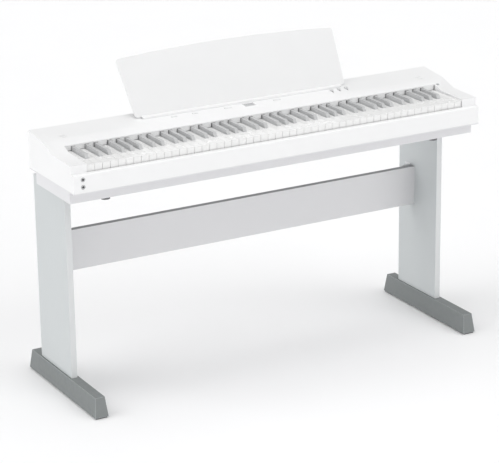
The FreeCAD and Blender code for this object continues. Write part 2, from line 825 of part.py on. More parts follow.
def make_music_rest():
    """A leaning sheet with a crowned top edge."""
    body = new_body("MusicRest")
    face = new_sketch(body, "RestFace", "XZ_Plane", "-rest_sheet / 2")
    base, top = SIZES["rest_half_base"], SIZES["rest_half_top"]
    side, crown = SIZES["rest_side"], SIZES["rest_crown"]
    corners = [V(-base, 0), V(base, 0), V(top, side), V(-top, side)]
    for start, end in ((0, 1), (1, 2), (3, 0)):
        face.addGeometry(Part.LineSegment(corners[start], corners[end]))
    face.addGeometry(Part.Arc(corners[2], V(0, side + crown), corners[3]))
    for first, second in ((0, 1), (1, 3), (3, 2), (2, 0)):
        face.addConstraint(Sketcher.Constraint("Coincident", first, 2, second, 1))
    pin_point(face, 0, 1, "-rest_half_base", "0")
    pin_point(face, 0, 2, "rest_half_base", "0")
    pin_point(face, 1, 2, "rest_half_top", "rest_side")
    pin_point(face, 2, 1, "-rest_half_top", "rest_side")
    crown_radius = (top ** 2 + crown ** 2) / (2 * crown)
    index = face.addConstraint(Sketcher.Constraint("Radius", 3, crown_radius))
    bind(face, f"Constraints[{index}]", "(rest_half_top ^ 2 + rest_crown ^ 2) / (2 * rest_crown)")
    sheet_pad = pad(body, face, "rest_sheet")
    doc.recompute()
    corner_edges = [
        f"Edge{number}" for number, edge in enumerate(sheet_pad.Shape.Edges, start=1)
        if edge.Curve.TypeId == "Part::GeomLine"
        and abs(edge.tangentAt(edge.FirstParameter).y) > ALONG_Y
    ]
    fillet = body.newObject("PartDesign::Fillet", "RestCorners")
    fillet.Base = (sheet_pad, corner_edges)
    bind(fillet, "Radius", "rest_corner")
    lean_back(body)
    sub_part(body, "music_rest")

def make_music_rest_holder():
    """The ledge on the panel, with a leaning slot that is open at both ends."""
    ledge = prism("Ledge", on_panel("holder_front", "holder_rear", "0", "holder_proud"),
                  "-holder_half", "holder_half")
    half_slot = "(rest_sheet / 2 + fit_gap)"
    slot = doc.addObject("Part::Box", "RestSlot")
    bind(slot, "Length", "2 * (holder_half + lap)")
    bind(slot, "Width", f"2 * {half_slot}")
    bind(slot, "Height", "rest_side")
    slot.Placement = FreeCAD.Placement(V(), LEAN_BACK)
    bind(slot, "Placement.Rotation.Angle", "rest_lean")
    bind(slot, "Placement.Base.x", "-holder_half - lap")
    bind(slot, "Placement.Base.y", back(f"rest_base_back - {half_slot} * cos(rest_lean * 1 deg)"))
    bind(slot, "Placement.Base.z", f"{REST_BASE} + {half_slot} * sin(rest_lean * 1 deg)")
    sub_part(cut("MusicRestHolder", ledge, [slot]), "music_rest_holder")


# ---------------------------------------------------------------- controls

def make_buttons():
    near, far = "control_line - button_depth / 2", "control_line + button_depth / 2"
    for name, x, width in BUTTONS:
        side = [
            (back(near), "button_foot"),
            (back(far), "button_foot"),
            (back(far), panel_height(far) + " + button_proud"),
            (back(near), panel_height(near) + " + button_proud"),
        ]
        sub_part(prism(object_name(name), side, *span(x, width)), name)
    crown = cylinder("PowerButtonCap", "z", "power_radius", POWER_CENTRE,
                     "switch_height + switch_tall + button_travel + touch_gap",
                     cheek_height("power_back") + " + button_proud")
    sub_part(crown, "power_button")


def make_sliders():
    units = []
    cap_side = on_panel("control_line - slider_cap / 2", "control_line + slider_cap / 2",
                        "-slider_lift", "slider_lift + slider_height")
    stem_top = panel_height("control_line") + " + slider_lift + lap"
    groove_height = ("control_board_top + slider_unit_floor", "rear_top")
    for index, name in enumerate(SLIDERS):
        x = slider_x(index)
        cap = prism(object_name(name) + "Cap", cap_side, *span(x, "slider_cap"))
        stem = box("SliderStem", span(x, "slider_stem"),
                   span(back("control_line"), "slider_stem + slider_stem_extra"), ("slider_foot", stem_top))
        sub_part(fuse(object_name(name), [cap, stem]), name)
        unit = box("SliderUnit", span(x, "slider_unit"),
                   span(back("control_line"), "slider_slot + 2 * slider_play"),
                   ("control_board_top", "control_board_top + slider_unit_height"))
        groove = box("UnitGroove", span(x, "slider_stem + slider_play"),
                     span(back("control_line"), "slider_slot"), groove_height)
        units.append(cut("SliderUnitBody", unit, [groove]))
    sub_part(group("SliderUnits", units), "slider_units")


def make_display():
    side = on_panel("control_line - display_depth / 2", "control_line + display_depth / 2",
                    "window_thick", "0")
    sub_part(prism("DisplayWindow", side, *span("display_x", "display_width")), "display_window")


def make_button_board():
    """The control board with its display module and switches, and the power switch apart from it."""
    circuit = box("ControlBoard", ("function_x - board_margin", f"{slider_x(2)} + board_margin"),
                  (back("board_front"), back("board_rear")),
                  ("control_board_top - board", "control_board_top"))
    module_top = panel_height("control_line - display_depth / 2") + " - window_thick"
    module = box("DisplayModule", span("display_x", "display_width - 2 * module_inset"),
                 span(back("control_line"), "display_depth"), ("control_board_top", module_top))
    switch_top = "button_foot - button_travel - touch_gap"
    switches = [
        box("TactSwitch", span(x, "tact_switch"), span(back("control_line"), "tact_switch"),
            ("control_board_top", switch_top))
        for _, x, _ in BUTTONS
    ]
    board = fuse("ControlBoardParts", [circuit, module] + switches)
    power = box("PowerSwitch", span(POWER_X, "switch_wide"), span(back("power_back"), "post_depth"),
                ("switch_height", "switch_height + switch_tall"))
    sub_part(group("ButtonBoard", [board, power]), "button_board")


# ---------------------------------------------------------------- keyboard

OCTAVE = "(7 * white_pitch)"
SLOT = f"({OCTAVE} / 12)"
FIRST_C = f"({KEYS_LEFT} + 2 * white_pitch)"
TAIL_WIDTH = f"({SLOT} - tail_gap)"
HAMMER_WIDTH = f"({SLOT} - hammer_gap)"
BLACK_SLOT = "(black_base + 2 * slot_gap)"
KEY_BOTTOM = "white_top - key_height"
NOTCH = back("black_front - key_gap")
HEAD_REAR = back("panel_edge + head_cover")
CROWN_REAR = back("panel_edge + head_cover + lap")
KEY_REAR = back("key_rear")


def octave_start(note):
    """Left edge of the first octave in which the note has a key."""
    return f"({FIRST_C} - {OCTAVE})" if note in LOW_NOTES else FIRST_C


def octave_count(note):
    return FULL_OCTAVES + 1 if note in LOW_NOTES or note == "c" else FULL_OCTAVES


def slot_centre(note):
    """Centre of a note's tail slot, from the octave's left edge."""
    return f"(({SLOTS.index(note)} + 1 / 2) * {SLOT})"


def sharp_centre(note):
    return f"({SHARPS[note]} * white_pitch)"


def plan_pad(body, name, corners, low, high):
    """Adds an upright block with the given plan between two heights."""
    plan = new_sketch(body, name, "XY_Plane", low)
    outline(plan, corners)
    return pad(body, plan, f"({high}) - ({low})")


def rectangle(x, y):
    return [(x[0], y[0]), (x[1], y[0]), (x[1], y[1]), (x[0], y[1])]


def natural_plan(note):
    """Plan of a white key: wide head, waist between its black neighbours, narrow tail."""
    step = NATURALS.index(note)
    left = f"{step} * white_pitch + key_gap / 2"
    right = f"{step + 1} * white_pitch - key_gap / 2"
    order = SLOTS.index(note)
    below, above = SLOTS[order - 1], SLOTS[(order + 1) % len(SLOTS)]
    waist_left = f"{sharp_centre(below)} + {BLACK_SLOT} / 2" if below in SHARPS else left
    waist_right = f"{sharp_centre(above)} - {BLACK_SLOT} / 2" if above in SHARPS else right
    tail_left, tail_right = span(slot_centre(note), TAIL_WIDTH)
    corners = [(left, back("white_front")), (right, back("white_front"))]
    if above in SHARPS:
        corners += [(right, NOTCH), (waist_right, NOTCH)]
    corners += [
        (waist_right, HEAD_REAR), (tail_right, HEAD_REAR), (tail_right, KEY_REAR),
        (tail_left, KEY_REAR), (tail_left, HEAD_REAR), (waist_left, HEAD_REAR),
    ]
    if below in SHARPS:
        corners += [(waist_left, NOTCH), (left, NOTCH)]
    return corners


def sharp_features(body, note):
    """The wide base, the narrower crown with its sloped front, and the tail of a black key."""
    centre = sharp_centre(note)
    base_plan = rectangle(span(centre, "black_base"), (back("black_front"), CROWN_REAR))
    base = plan_pad(body, body.Name + "Base", base_plan, KEY_BOTTOM, "white_top")
    tail_plan = rectangle(span(slot_centre(note), TAIL_WIDTH), (HEAD_REAR, KEY_REAR))
    tail = plan_pad(body, body.Name + "Tail", tail_plan, KEY_BOTTOM, "white_top")
    side = new_sketch(body, body.Name + "CrownSide", "YZ_Plane", f"{centre} - black_crown / 2")
    outline(side, [
        (back("black_front"), "white_top"),
        (back("black_front + black_slope"), "white_top + black_rise"),
        (CROWN_REAR, "white_top + black_rise"),
        (CROWN_REAR, "white_top"),
    ])
    return [base, tail, pad(body, side, "black_crown")]


def make_key(note):
    body = new_body(object_name("key_" + note))
    if note in SHARPS:
        features = sharp_features(body, note)
    else:
        features = [plan_pad(body, body.Name + "Plan", natural_plan(note), KEY_BOTTOM, "white_top")]
    pusher_plan = rectangle(span(slot_centre(note), "pusher_width"),
                            (back("pusher_front"), back("pusher_rear")))
    pusher = plan_pad(body, body.Name + "Pusher", pusher_plan, "pusher_bottom", f"{KEY_BOTTOM} + lap")
    features.append(pusher)
    bore = new_sketch(body, body.Name + "Bore", "YZ_Plane", slot_centre(note))
    hole_outline(bore, back("pivot_back"), "pivot_height", "pivot_radius + running_gap")
    features.append(pocket(body, bore, f"{TAIL_WIDTH} + 2 * lap"))
    repeat(body, features, octave_count(note))
    if note == "a":
        left = f"{NATURALS.index('a')} * white_pitch + key_gap / 2"
        fill_waist(body, "LowEndFill", left, f"{sharp_centre('g_sharp')} + {BLACK_SLOT} / 2")
    if note == "c":
        last = f"{FULL_OCTAVES} * {OCTAVE}"
        fill_waist(body, "HighEndFill", f"{last} + {sharp_centre('c_sharp')} - {BLACK_SLOT} / 2",
                   f"{last} + white_pitch - key_gap / 2")
    bind(body, "Placement.Base.x", octave_start(note))
    sub_part(body, "key_" + note)


def fill_waist(body, name, low, high):
    """Makes an end key full width where it has no black neighbour."""
    plan_pad(body, name, rectangle((low, high), (NOTCH, HEAD_REAR)), KEY_BOTTOM, "white_top")


def repeat(body, features, count):
    """Repeats features once per octave."""
    doc.recompute()
    pattern = body.newObject("PartDesign::LinearPattern", body.Name + "Octaves")
    pattern.Originals = features
    pattern.Direction = (origin_feature(body, "X_Axis"), [""])
    bind(pattern, "Length", f"{count - 1} * {OCTAVE}")
    pattern.Occurrences = count
    body.Tip = pattern


def make_hammer(note):
    """A weighted lever below each key; the key's pusher presses its nose down."""
    body = new_body(object_name("hammer_" + note))
    side = new_sketch(body, body.Name + "Side", "YZ_Plane")
    top = "(pusher_bottom - fit_gap)"
    outline(side, [
        (back("hammer_nose"), f"{top} - arm_height"),
        (back("weight_front"), f"{top} - arm_height"),
        (back("weight_front"), f"{top} - weight_height"),
        (back("hammer_tail"), f"{top} - weight_height"),
        (back("hammer_tail"), top),
        (back("hammer_nose"), top),
    ])
    lever = pad(body, side, HAMMER_WIDTH, True)
    bore = new_sketch(body, body.Name + "Bore", "YZ_Plane")
    hole_outline(bore, back("hammer_pivot_back"), "hammer_pivot_height", "hammer_rod_radius + running_gap")
    features = [lever, pocket(body, bore, f"{HAMMER_WIDTH} + 2 * lap")]
    repeat(body, features, octave_count(note))
    bind(body, "Placement.Base.x", f"{octave_start(note)} + {slot_centre(note)}")
    sub_part(body, "hammer_" + note)


KEYS_RIGHT = f"(-{KEYS_LEFT})"
RAIL_SPAN = (back("frame_front"), back("frame_front + rail_depth"))
REAR_RAIL_FRONT = back("frame_rear - rail_depth / 2")
REAR_FELT_TOP = "white_top - key_height - fit_gap"
OCTAVE_LINES = [f"{FIRST_C} + {octave} * {OCTAVE}" for octave in range(FULL_OCTAVES + 1)]


def rod_bracket(start):
    """A thin upright sheet that carries both rods."""
    hammer_front = back("hammer_pivot_back - hammer_rod_margin")
    shoulder = "hammer_pivot_height + hammer_rod_margin"
    rear = back("frame_rear - lap")
    side = [
        (hammer_front, "frame_bottom"),
        (rear, "frame_bottom"),
        (rear, "pivot_height - key_rod_margin"),
        (back("pivot_back + key_rod_margin"), "pivot_height + key_rod_margin"),
        (back("pivot_back - key_rod_margin"), "pivot_height + key_rod_margin"),
        (back("pivot_back - hammer_rod_margin"), shoulder),
        (hammer_front, shoulder),
    ]
    return prism("RodBracket", side, start, f"{start} + bracket_sheet")


def make_key_frame():
    """Base plate with front and rear rails, a bracket between octaves, and the two rods."""
    across = (KEYS_LEFT, KEYS_RIGHT)
    plate = box("FramePlate", across, (back("frame_front"), back("frame_rear")),
                ("frame_bottom", "frame_top"))
    front = box("FrontRail", across, RAIL_SPAN, ("frame_bottom", "down_felt_top - felt"))
    rear = box("RearRail", across, (REAR_RAIL_FRONT, back("frame_rear")),
               ("frame_bottom", f"{REAR_FELT_TOP} - felt"))
    starts = [f"{line} - bracket_sheet / 2" for line in OCTAVE_LINES]
    starts = [KEYS_LEFT] + starts + [f"{KEYS_RIGHT} - bracket_sheet"]
    brackets = [rod_bracket(start) for start in starts]
    key_rod = cylinder("KeyRod", "x", "pivot_radius", (back("pivot_back"), "pivot_height"), *across)
    hammer_rod = cylinder("HammerRod", "x", "hammer_rod_radius",
                          (back("hammer_pivot_back"), "hammer_pivot_height"), *across)
    frame = fuse("FrameAndBrackets", [plate, front, rear] + brackets)
    sub_part(cut("KeyFrame", frame, [key_rod, hammer_rod]), "key_frame")
    sub_part(key_rod, "key_pivot_rod")
    sub_part(hammer_rod, "hammer_pivot_rod")


def make_stop_felts():
    """Felt under the key fronts, and under the hammers and key tails between the brackets."""
    felts = [box("DownFelt", (KEYS_LEFT, KEYS_RIGHT), RAIL_SPAN, ("down_felt_top - felt", "down_felt_top"))]
    hammer_along = (back("weight_front + felt_lead"), back("hammer_tail - felt_edge"))
    hammer_top = "pusher_bottom - weight_height - 2 * fit_gap"
    rear_along = (REAR_RAIL_FRONT, back("frame_rear - felt_edge"))
    edges = [KEYS_LEFT] + OCTAVE_LINES + [KEYS_RIGHT]
    for low, high in zip(edges, edges[1:]):
        across = (f"{low} + bracket_sheet", f"{high} - bracket_sheet")
        felts.append(box("HammerFelt", across, hammer_along, ("frame_top", hammer_top)))
        felts.append(box("RearFelt", across, rear_along, (f"{REAR_FELT_TOP} - felt", REAR_FELT_TOP)))
    sub_part(group("StopFelts", felts), "stop_felts")


def make_contact_board():
    """The key sensors' board on the frame plate, with a raised rubber contact strip."""
    across = (KEYS_LEFT, KEYS_RIGHT)
    board_top = "frame_top + board"
    along = (back("frame_front + rail_depth + sensor_front_gap"),
             back("hammer_pivot_back - sensor_rear_gap"))
    sensor = box("SensorBoard", across, along, ("frame_top", board_top))
    lead = "hammer_nose + contact_lead"
    strip = box("ContactStrip", across, (back(lead), back(f"{lead} + contact_strip")),
                (board_top, f"{board_top} + contact_height"))
    sub_part(fuse("SensorParts", [sensor, strip]), "contact_board")


# ---------------------------------------------------------------- electronics

def make_headphone_jacks():
    jacks = []
    for height in HEADPHONE_HEIGHTS:
        centre = (JACK_X, height)
        barrel = fuse("HeadphoneBarrel", [
            cylinder("JackBody", "y", "jack_radius", centre, back("-jack_flange_proud / 2"),
                     back("slip_depth - lap")),
            cylinder("JackFlange", "y", "jack_flange", centre, back("-jack_flange_proud"), back("0")),
        ])
        bore = cylinder("JackSocket", "y", "socket_radius", centre, back("-jack_flange_proud - lap"),
                        back("slip_depth - lap - jack_wall"))
        jacks.append(cut("HeadphoneJack", barrel, [bore]))
    sub_part(group("HeadphoneJacks", jacks), "headphone_jacks")


def make_rear_jacks():
    """A plate between the rear covers with a row of socketed barrels behind it."""
    plate = box("JackPlate", span("rear_jacks_x", "rear_plate_width"),
                (back("body_depth - wall"), back("body_depth - rear_plate_sunk")), REAR_HEIGHT)
    barrels, bores = [], []
    inner = "body_depth - rear_socket_depth"
    for step in REAR_SOCKETS:
        centre = (f"rear_jacks_x + {step} * rear_pitch", "rear_jacks_height")
        barrels.append(cylinder("RearBarrel", "y", "jack_radius + rear_barrel_wall", centre,
                                back(f"{inner} - wall"), back("body_depth - wall / 2")))
        bores.append(cylinder("RearSocket", "y", "socket_radius", centre, back(inner),
                              back("body_depth + lap")))
    sub_part(cut("RearJacks", fuse("PlateAndBarrels", [plate] + barrels), bores), "rear_jacks")


def rear_speaker(sign):
    """Frame, basket and magnet of a speaker that faces the rear covers' slots."""
    x = side_x(sign, "speaker_x")
    seat = "body_depth - wall"
    frame = box("SpeakerFrame", span(x, "speaker_width"),
                (back(f"{seat} - speaker_frame"), back(seat)), span("speaker_height", "speaker_tall"))
    basket = cylinder("SpeakerBasket", "y", "basket_radius", (x, "speaker_height"),
                      back("body_depth - basket_depth"), back(f"{seat} - speaker_frame + lap"))
    magnet = cylinder("SpeakerMagnet", "y", "magnet_radius", (x, "speaker_height"),
                      back("body_depth - magnet_depth"), back("body_depth - basket_depth + lap"))
    return fuse("Speaker", [frame, basket, magnet])


def make_speakers():
    speakers, grilles = [], []
    for _, sign in SIDES:
        centre = tweeter_centre(sign)
        speakers.append(rear_speaker(sign))
        speakers.append(cylinder("Tweeter", "z", "tweeter_radius - lap", centre,
                                 "tweeter_seat - tweeter_tall", "tweeter_seat"))
        grilles.append(cylinder("TweeterGrille", "z", "tweeter_radius", centre, "tweeter_seat",
                                panel_height("tweeter_back")))
    sub_part(group("Speakers", speakers), "speakers")
    sub_part(group("TweeterGrilles", grilles), "tweeter_grilles")


# Chips on the main board: how far right of the board's left edge and behind its front edge
# their middles lie, their width, depth and height
CHIPS = ((40, 55, 24, 24, 4), (90, 35, 18, 12, 4), (130, 75, 30, 20, 8), (155, 25, 12, 18, 10))


def make_main_board():
    circuit = box("MainCircuit", (MAIN_BOARD_LEFT, MAIN_BOARD_RIGHT),
                  (back("main_board_front"), back("main_board_rear")),
                  ("main_board_bottom", "main_board_bottom + board"))
    chips = []
    for right, behind, wide, deep, tall in CHIPS:
        across = span(f"{MAIN_BOARD_LEFT} + {right}", wide)
        along = span(back(f"main_board_front + {behind}"), deep)
        height = ("main_board_bottom + lap", f"main_board_bottom + {tall}")
        chips.append(box("Chip", across, along, height))
    sub_part(fuse("MainBoard", [circuit] + chips), "main_board")


def make_rubber_feet():
    feet = []
    for _, sign in SIDES:
        for place in ("rubber_foot_front", "rubber_foot_rear"):
            centre = (side_x(sign, "body_width / 2 - rubber_foot_inset"), back(place))
            feet.append(cylinder("RubberFoot", "z", "rubber_foot_radius", centre,
                                 "tray_bottom - rubber_foot_drop", "tray_bottom"))
    sub_part(group("RubberFeet", feet), "rubber_feet")


# ---------------------------------------------------------------- assembly

screw_cuts = make_screws()
make_panels_and_feet(screw_cuts)
make_back_board(screw_cuts)
make_brackets(screw_cuts)
make_foot_pads()
make_bottom_case(screw_cuts["tray"])
make_upper_case()
make_rear_covers()
make_key_slip()
make_music_rest()
make_music_rest_holder()
make_buttons()
make_sliders()
make_display()
make_button_board()
for note in SLOTS:
    make_key(note)
    make_hammer(note)
make_key_frame()
make_stop_felts()
make_contact_board()
make_headphone_jacks()
make_rear_jacks()
make_speakers()
make_main_board()
make_rubber_feet()
doc.recompute()

for item in doc.Objects:
    if "Invalid" in item.State or "Error" in item.State:
        raise RuntimeError(f"{item.Name} ({item.Label}) failed: {item.State}")
labels = [item.Label for item in parts]
if len(set(labels)) != len(labels):
    raise RuntimeError("two sub-parts share a name")
for item in parts:
    if item.Shape.isNull() or not item.Shape.isValid():
        raise RuntimeError(f"{item.Label} has no valid shape")

os.makedirs("parts", exist_ok=True)
for item in parts:
    item.Shape.exportStep(f"parts/{item.Label}.step")
print(len(parts), "sub-parts written")
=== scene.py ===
import math

import bmesh
import bpy
from mathutils import Matrix, Vector


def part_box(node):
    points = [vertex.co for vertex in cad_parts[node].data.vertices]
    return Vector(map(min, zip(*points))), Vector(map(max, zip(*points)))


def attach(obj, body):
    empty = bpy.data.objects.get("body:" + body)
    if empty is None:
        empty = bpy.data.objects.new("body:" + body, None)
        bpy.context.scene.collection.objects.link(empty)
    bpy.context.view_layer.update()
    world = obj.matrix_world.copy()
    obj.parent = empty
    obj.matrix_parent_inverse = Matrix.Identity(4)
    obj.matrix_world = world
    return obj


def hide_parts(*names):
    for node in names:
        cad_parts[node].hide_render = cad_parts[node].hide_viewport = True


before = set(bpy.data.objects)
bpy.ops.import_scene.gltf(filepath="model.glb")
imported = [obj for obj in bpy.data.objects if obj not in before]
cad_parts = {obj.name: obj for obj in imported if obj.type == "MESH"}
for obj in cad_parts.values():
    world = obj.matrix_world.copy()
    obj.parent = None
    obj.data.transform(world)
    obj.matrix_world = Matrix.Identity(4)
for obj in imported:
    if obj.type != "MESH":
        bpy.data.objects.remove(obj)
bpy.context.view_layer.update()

# Digital piano on a panel-leg stand: looks, lights and camera, in metres.
# +X runs to the player's right, the player sits on the -Y side, and the floor is at Z = 0.
# Most pieces start from their CAD solid, whose edges are rounded here, so they keep its size.

MM = 0.001

# Root body, and the twelve notes that name the key nodes
BODY = "case_and_stand"
NATURALS = ("c", "d", "e", "f", "g", "a", "b")
SHARPS = ("c_sharp", "d_sharp", "f_sharp", "g_sharp", "a_sharp")

# Edge radii
CASE_EDGE = 1.6 * MM
TRAY_EDGE = 1.2 * MM
SLIP_EDGE = 1.1 * MM
WHITE_KEY_EDGE = 0.5 * MM
BLACK_KEY_EDGE = 1.2 * MM
BOARD_EDGE = 0.8 * MM
FOOT_EDGE = 2.2 * MM
REST_EDGE = 1.0 * MM
HOLDER_EDGE = 0.6 * MM
RUBBER_EDGE = 1.2 * MM
SMALL_EDGE = 0.4 * MM
TINY_EDGE = 0.2 * MM

# White key tops, which hang over their fronts a little
LIP_THICK = 2.4 * MM
LIP_UNDERCUT = 0.8 * MM
KEY_FRONT_BAND = 1.5 * WHITE_KEY_EDGE

# Strip that closes the slot between the control panel and the white keys
STRIP_THICK = 2.0 * MM
STRIP_ABOVE_KEYS = 1.3 * MM
STRIP_ABOVE_BLACK = 0.8 * MM
STRIP_BESIDE_KEYS = 0.7 * MM
STRIP_SETBACK = 1.0 * MM
STRIP_IN_PANEL = 1.0 * MM

# Buttons' finger dishes, and the field behind the display's window
BUTTON_RIM = 1.3 * MM
BUTTON_DISH = 0.25 * MM
DISPLAY_RIM = 3.0 * MM
DISPLAY_SUNK = 0.35 * MM

# Grip ridges on the slider knobs
RIDGE_WIDE = 0.55 * MM
RIDGE_TALL = 0.35 * MM
RIDGE_EDGE = 0.45 * RIDGE_TALL
RIDGE_PITCH = 1.3 * MM
RIDGE_COUNT = 5
RIDGE_SHORT = 0.8 * MM

# Screw seats in the rubber feet
SEAT_RIM = 6 * MM
SEAT_DEPTH = 3 * MM

# Drive recesses: the least corners of a screw's head, shares of its radius, and the depth
HEAD_CORNERS = 12
DRIVE_RIM_SHARE = 0.52
DRIVE_SLOPE_SHARE = 0.04
DRIVE_DEPTH = 1.3 * MM

# Rings around the headphone sockets: half section from the bore outwards
RING_INNER = 3.4 * MM
RING_OUTER = 4.7 * MM
RING_PROUD = 0.45 * MM
RING_BURIED = 0.5 * MM
RING_SECTION = (
    (RING_INNER, -RING_BURIED),
    (RING_INNER, 0.6 * RING_PROUD),
    (RING_INNER + 0.3 * MM, RING_PROUD),
    (RING_OUTER - 0.4 * MM, RING_PROUD),
    (RING_OUTER, 0.4 * RING_PROUD),
    (RING_OUTER, -RING_BURIED),
)

# Angles between faces: an edge to round, a flat to merge, an edge to shade as sharp
EDGE_ANGLE = math.radians(25)
FLAT_ANGLE = math.radians(1)
SHARP_ANGLE = math.radians(40)

# Least share of a face's normal along an axis for the face to look that way
LOOKS_UP = 0.8
LOOKS_ACROSS = 0.5
LOOKS_STRAIGHT = 0.99

# Slack for being in a plane, distance for being one point, and the panel front's least width
JOINT_SLACK = 0.3 * MM
WELD = 1e-6
PANEL_FRONT_LEAST = 1.0

# The middle of a noise's range, which a spread maps to its own limits
NOISE_LOW = 0.3
NOISE_HIGH = 0.7

# Worn and highlit edges: how well the rounded and the true normal agree where the edge tone is full,
# and where it ends
WEAR_AND_HIGHLIGHT_FULL = 0.80
WEAR_AND_HIGHLIGHT_ENDS = 0.97
WEAR_AND_HIGHLIGHT_SAMPLES = 4


# ---------------------------------------------------------------- materials

def new_material(name):
    """A material with an empty tree but for its output and main shader."""
    made = bpy.data.materials.new(name)
    made.use_nodes = True
    shader = made.node_tree.nodes["Principled BSDF"]
    return made, made.node_tree, shader


def texture_space(tree, scale=(1, 1, 1)):
    """Object coordinates, which are the frame's own metres, stretched by scale."""
    coordinates = tree.nodes.new("ShaderNodeTexCoord")
    mapping = tree.nodes.new("ShaderNodeMapping")
    mapping.inputs["Scale"].default_value = scale
    tree.links.new(coordinates.outputs["Object"], mapping.inputs["Vector"])
    return mapping.outputs["Vector"]


def noise(tree, vector, per_metre, detail=3.0, roughness=0.55):
    """A noise pattern with about per_metre grains to the metre."""
    made = tree.nodes.new("ShaderNodeTexNoise")
    made.inputs["Scale"].default_value = per_metre
    made.inputs["Detail"].default_value = detail
    made.inputs["Roughness"].default_value = roughness
    tree.links.new(vector, made.inputs["Vector"])
    return made.outputs["Fac"]


def spread(tree, value, low, high):
    """Maps the middle of a noise's range to low..high."""
    made = tree.nodes.new("ShaderNodeMapRange")
    made.inputs["From Min"].default_value = NOISE_LOW
    made.inputs["From Max"].default_value = NOISE_HIGH
    made.inputs["To Min"].default_value = low
    made.inputs["To Max"].default_value = high
    tree.links.new(value, made.inputs["Value"])
    return made.outputs["Result"]


def two_tones(tree, factor, first, second):
    """A colour between two tones by a factor."""
    made = tree.nodes.new("ShaderNodeMix")
    made.data_type = "RGBA"
    made.inputs["A"].default_value = (*first, 1)
    made.inputs["B"].default_value = (*second, 1)
    tree.links.new(factor, made.inputs["Factor"])
    return made.outputs["Result"]


def bump(tree, shader, height, distance, after=None):
    """Relief of the given height in metres, on top of an earlier bump where one is given."""
    made = tree.nodes.new("ShaderNodeBump")
    made.inputs["Distance"].default_value = distance
    made.inputs["Strength"].default_value = 1.0
    tree.links.new(height, made.inputs["Height"])
    if after is not None:
        tree.links.new(after, made.inputs["Normal"])
    tree.links.new(made.outputs["Normal"], shader.inputs["Normal"])
    return made.outputs["Normal"]


def flatness(tree, radius):
    """0 on worn and highlit edges and 1 on flat faces, from how far a bevelled normal turns away."""
    bevel = tree.nodes.new("ShaderNodeBevel")
    bevel.samples = WEAR_AND_HIGHLIGHT_SAMPLES
    bevel.inputs["Radius"].default_value = radius
    geometry = tree.nodes.new("ShaderNodeNewGeometry")
    dot = tree.nodes.new("ShaderNodeVectorMath")
    dot.operation = "DOT_PRODUCT"
    tree.links.new(bevel.outputs["Normal"], dot.inputs[0])
    tree.links.new(geometry.outputs["Normal"], dot.inputs[1])
    ramp = tree.nodes.new("ShaderNodeMapRange")
    ramp.inputs["From Min"].default_value = WEAR_AND_HIGHLIGHT_FULL
    ramp.inputs["From Max"].default_value = WEAR_AND_HIGHLIGHT_ENDS
    tree.links.new(dot.outputs["Value"], ramp.inputs["Value"])
    return ramp.outputs["Result"]


def worn_and_highlit_edges(tree, shader, colour, wear_and_highlight_tone, radius):
    """Joins a colour output to the shader, turning to the given edge tone along edges: wear on most
    finishes, a painted highlight on the foot bars.
    """
    mixed = tree.nodes.new("ShaderNodeMix")
    mixed.data_type = "RGBA"
    mixed.inputs["A"].default_value = (*wear_and_highlight_tone, 1)
    tree.links.new(flatness(tree, radius), mixed.inputs["Factor"])
    tree.links.new(colour, mixed.inputs["B"])
    tree.links.new(mixed.outputs["Result"], shader.inputs["Base Color"])


def shade(colour, factor):
    """A colour made darker or lighter by a factor."""
    return tuple(channel * factor for channel in colour)


def tinted(tree, shader, factor, first, second):
    """Joins two tones to the shader's colour."""
    tree.links.new(two_tones(tree, factor, first, second), shader.inputs["Base Color"])


def uneven_gloss(tree, shader, pattern, low, high):
    """Joins a pattern to the shader's roughness, between two values."""
    tree.links.new(spread(tree, pattern, low, high), shader.inputs["Roughness"])


def clear_coat(shader, weight, roughness):
    shader.inputs["Coat Weight"].default_value = weight
    shader.inputs["Coat Roughness"].default_value = roughness


def moulded_plastic(name, colour, roughness, grain=2600, coat=0.0):
    """Injection-moulded plastic: fine spark-eroded grain, faint flow clouds and uneven gloss."""
    mottle = 0.02
    made, tree, shader = new_material(name)
    space = texture_space(tree)
    clouds = noise(tree, space, per_metre=9)
    tint = two_tones(tree, clouds, shade(colour, 1 - mottle), shade(colour, 1 + mottle))
    worn_and_highlit_edges(tree, shader, tint, wear_and_highlight_tone=shade(colour, 1 + 2 * mottle), radius=0.8 * MM)
    grit = noise(tree, space, grain, detail=2)
    uneven_gloss(tree, shader, noise(tree, space, per_metre=55), roughness - 0.05, roughness + 0.05)
    bump(tree, shader, grit, distance=0.012 * MM)
    clear_coat(shader, coat, roughness=0.2)
    return made


def laminated_board(name, colour, roughness=0.5):
    """Foil-faced particle board: a slight vertical brushed grain and the chips' long waves."""
    made, tree, shader = new_material(name)
    fibres = noise(tree, texture_space(tree, (1, 1, 0.06)), per_metre=900, detail=4)
    waves = noise(tree, texture_space(tree), per_metre=38, detail=2)
    clouds = noise(tree, texture_space(tree), per_metre=5)
    tint = two_tones(tree, clouds, shade(colour, 0.98), shade(colour, 1.02))
    worn_and_highlit_edges(tree, shader, tint, wear_and_highlight_tone=shade(colour, 1.12), radius=0.8 * MM)
    uneven_gloss(tree, shader, fibres, roughness - 0.07, roughness + 0.07)
    coarse = bump(tree, shader, waves, distance=0.05 * MM)
    bump(tree, shader, fibres, distance=0.02 * MM, after=coarse)
    return made


def painted_bar(name, colour):
    """Grey sprayed paint: orange peel, specks, and edges twice as light as the paint, which is a
    painted highlight.
    """
    made, tree, shader = new_material(name)
    space = texture_space(tree)
    specks = noise(tree, space, per_metre=1500, detail=1)
    speckled = two_tones(tree, specks, shade(colour, 0.94), shade(colour, 1.06))
    # Painted highlight: the bar's edges twice as light as its paint
    worn_and_highlit_edges(tree, shader, speckled, wear_and_highlight_tone=shade(colour, 2.0), radius=3 * MM)
    uneven_gloss(tree, shader, noise(tree, space, per_metre=70), low=0.46, high=0.6)
    bump(tree, shader, noise(tree, space, per_metre=420, detail=2), distance=0.06 * MM)
    return made


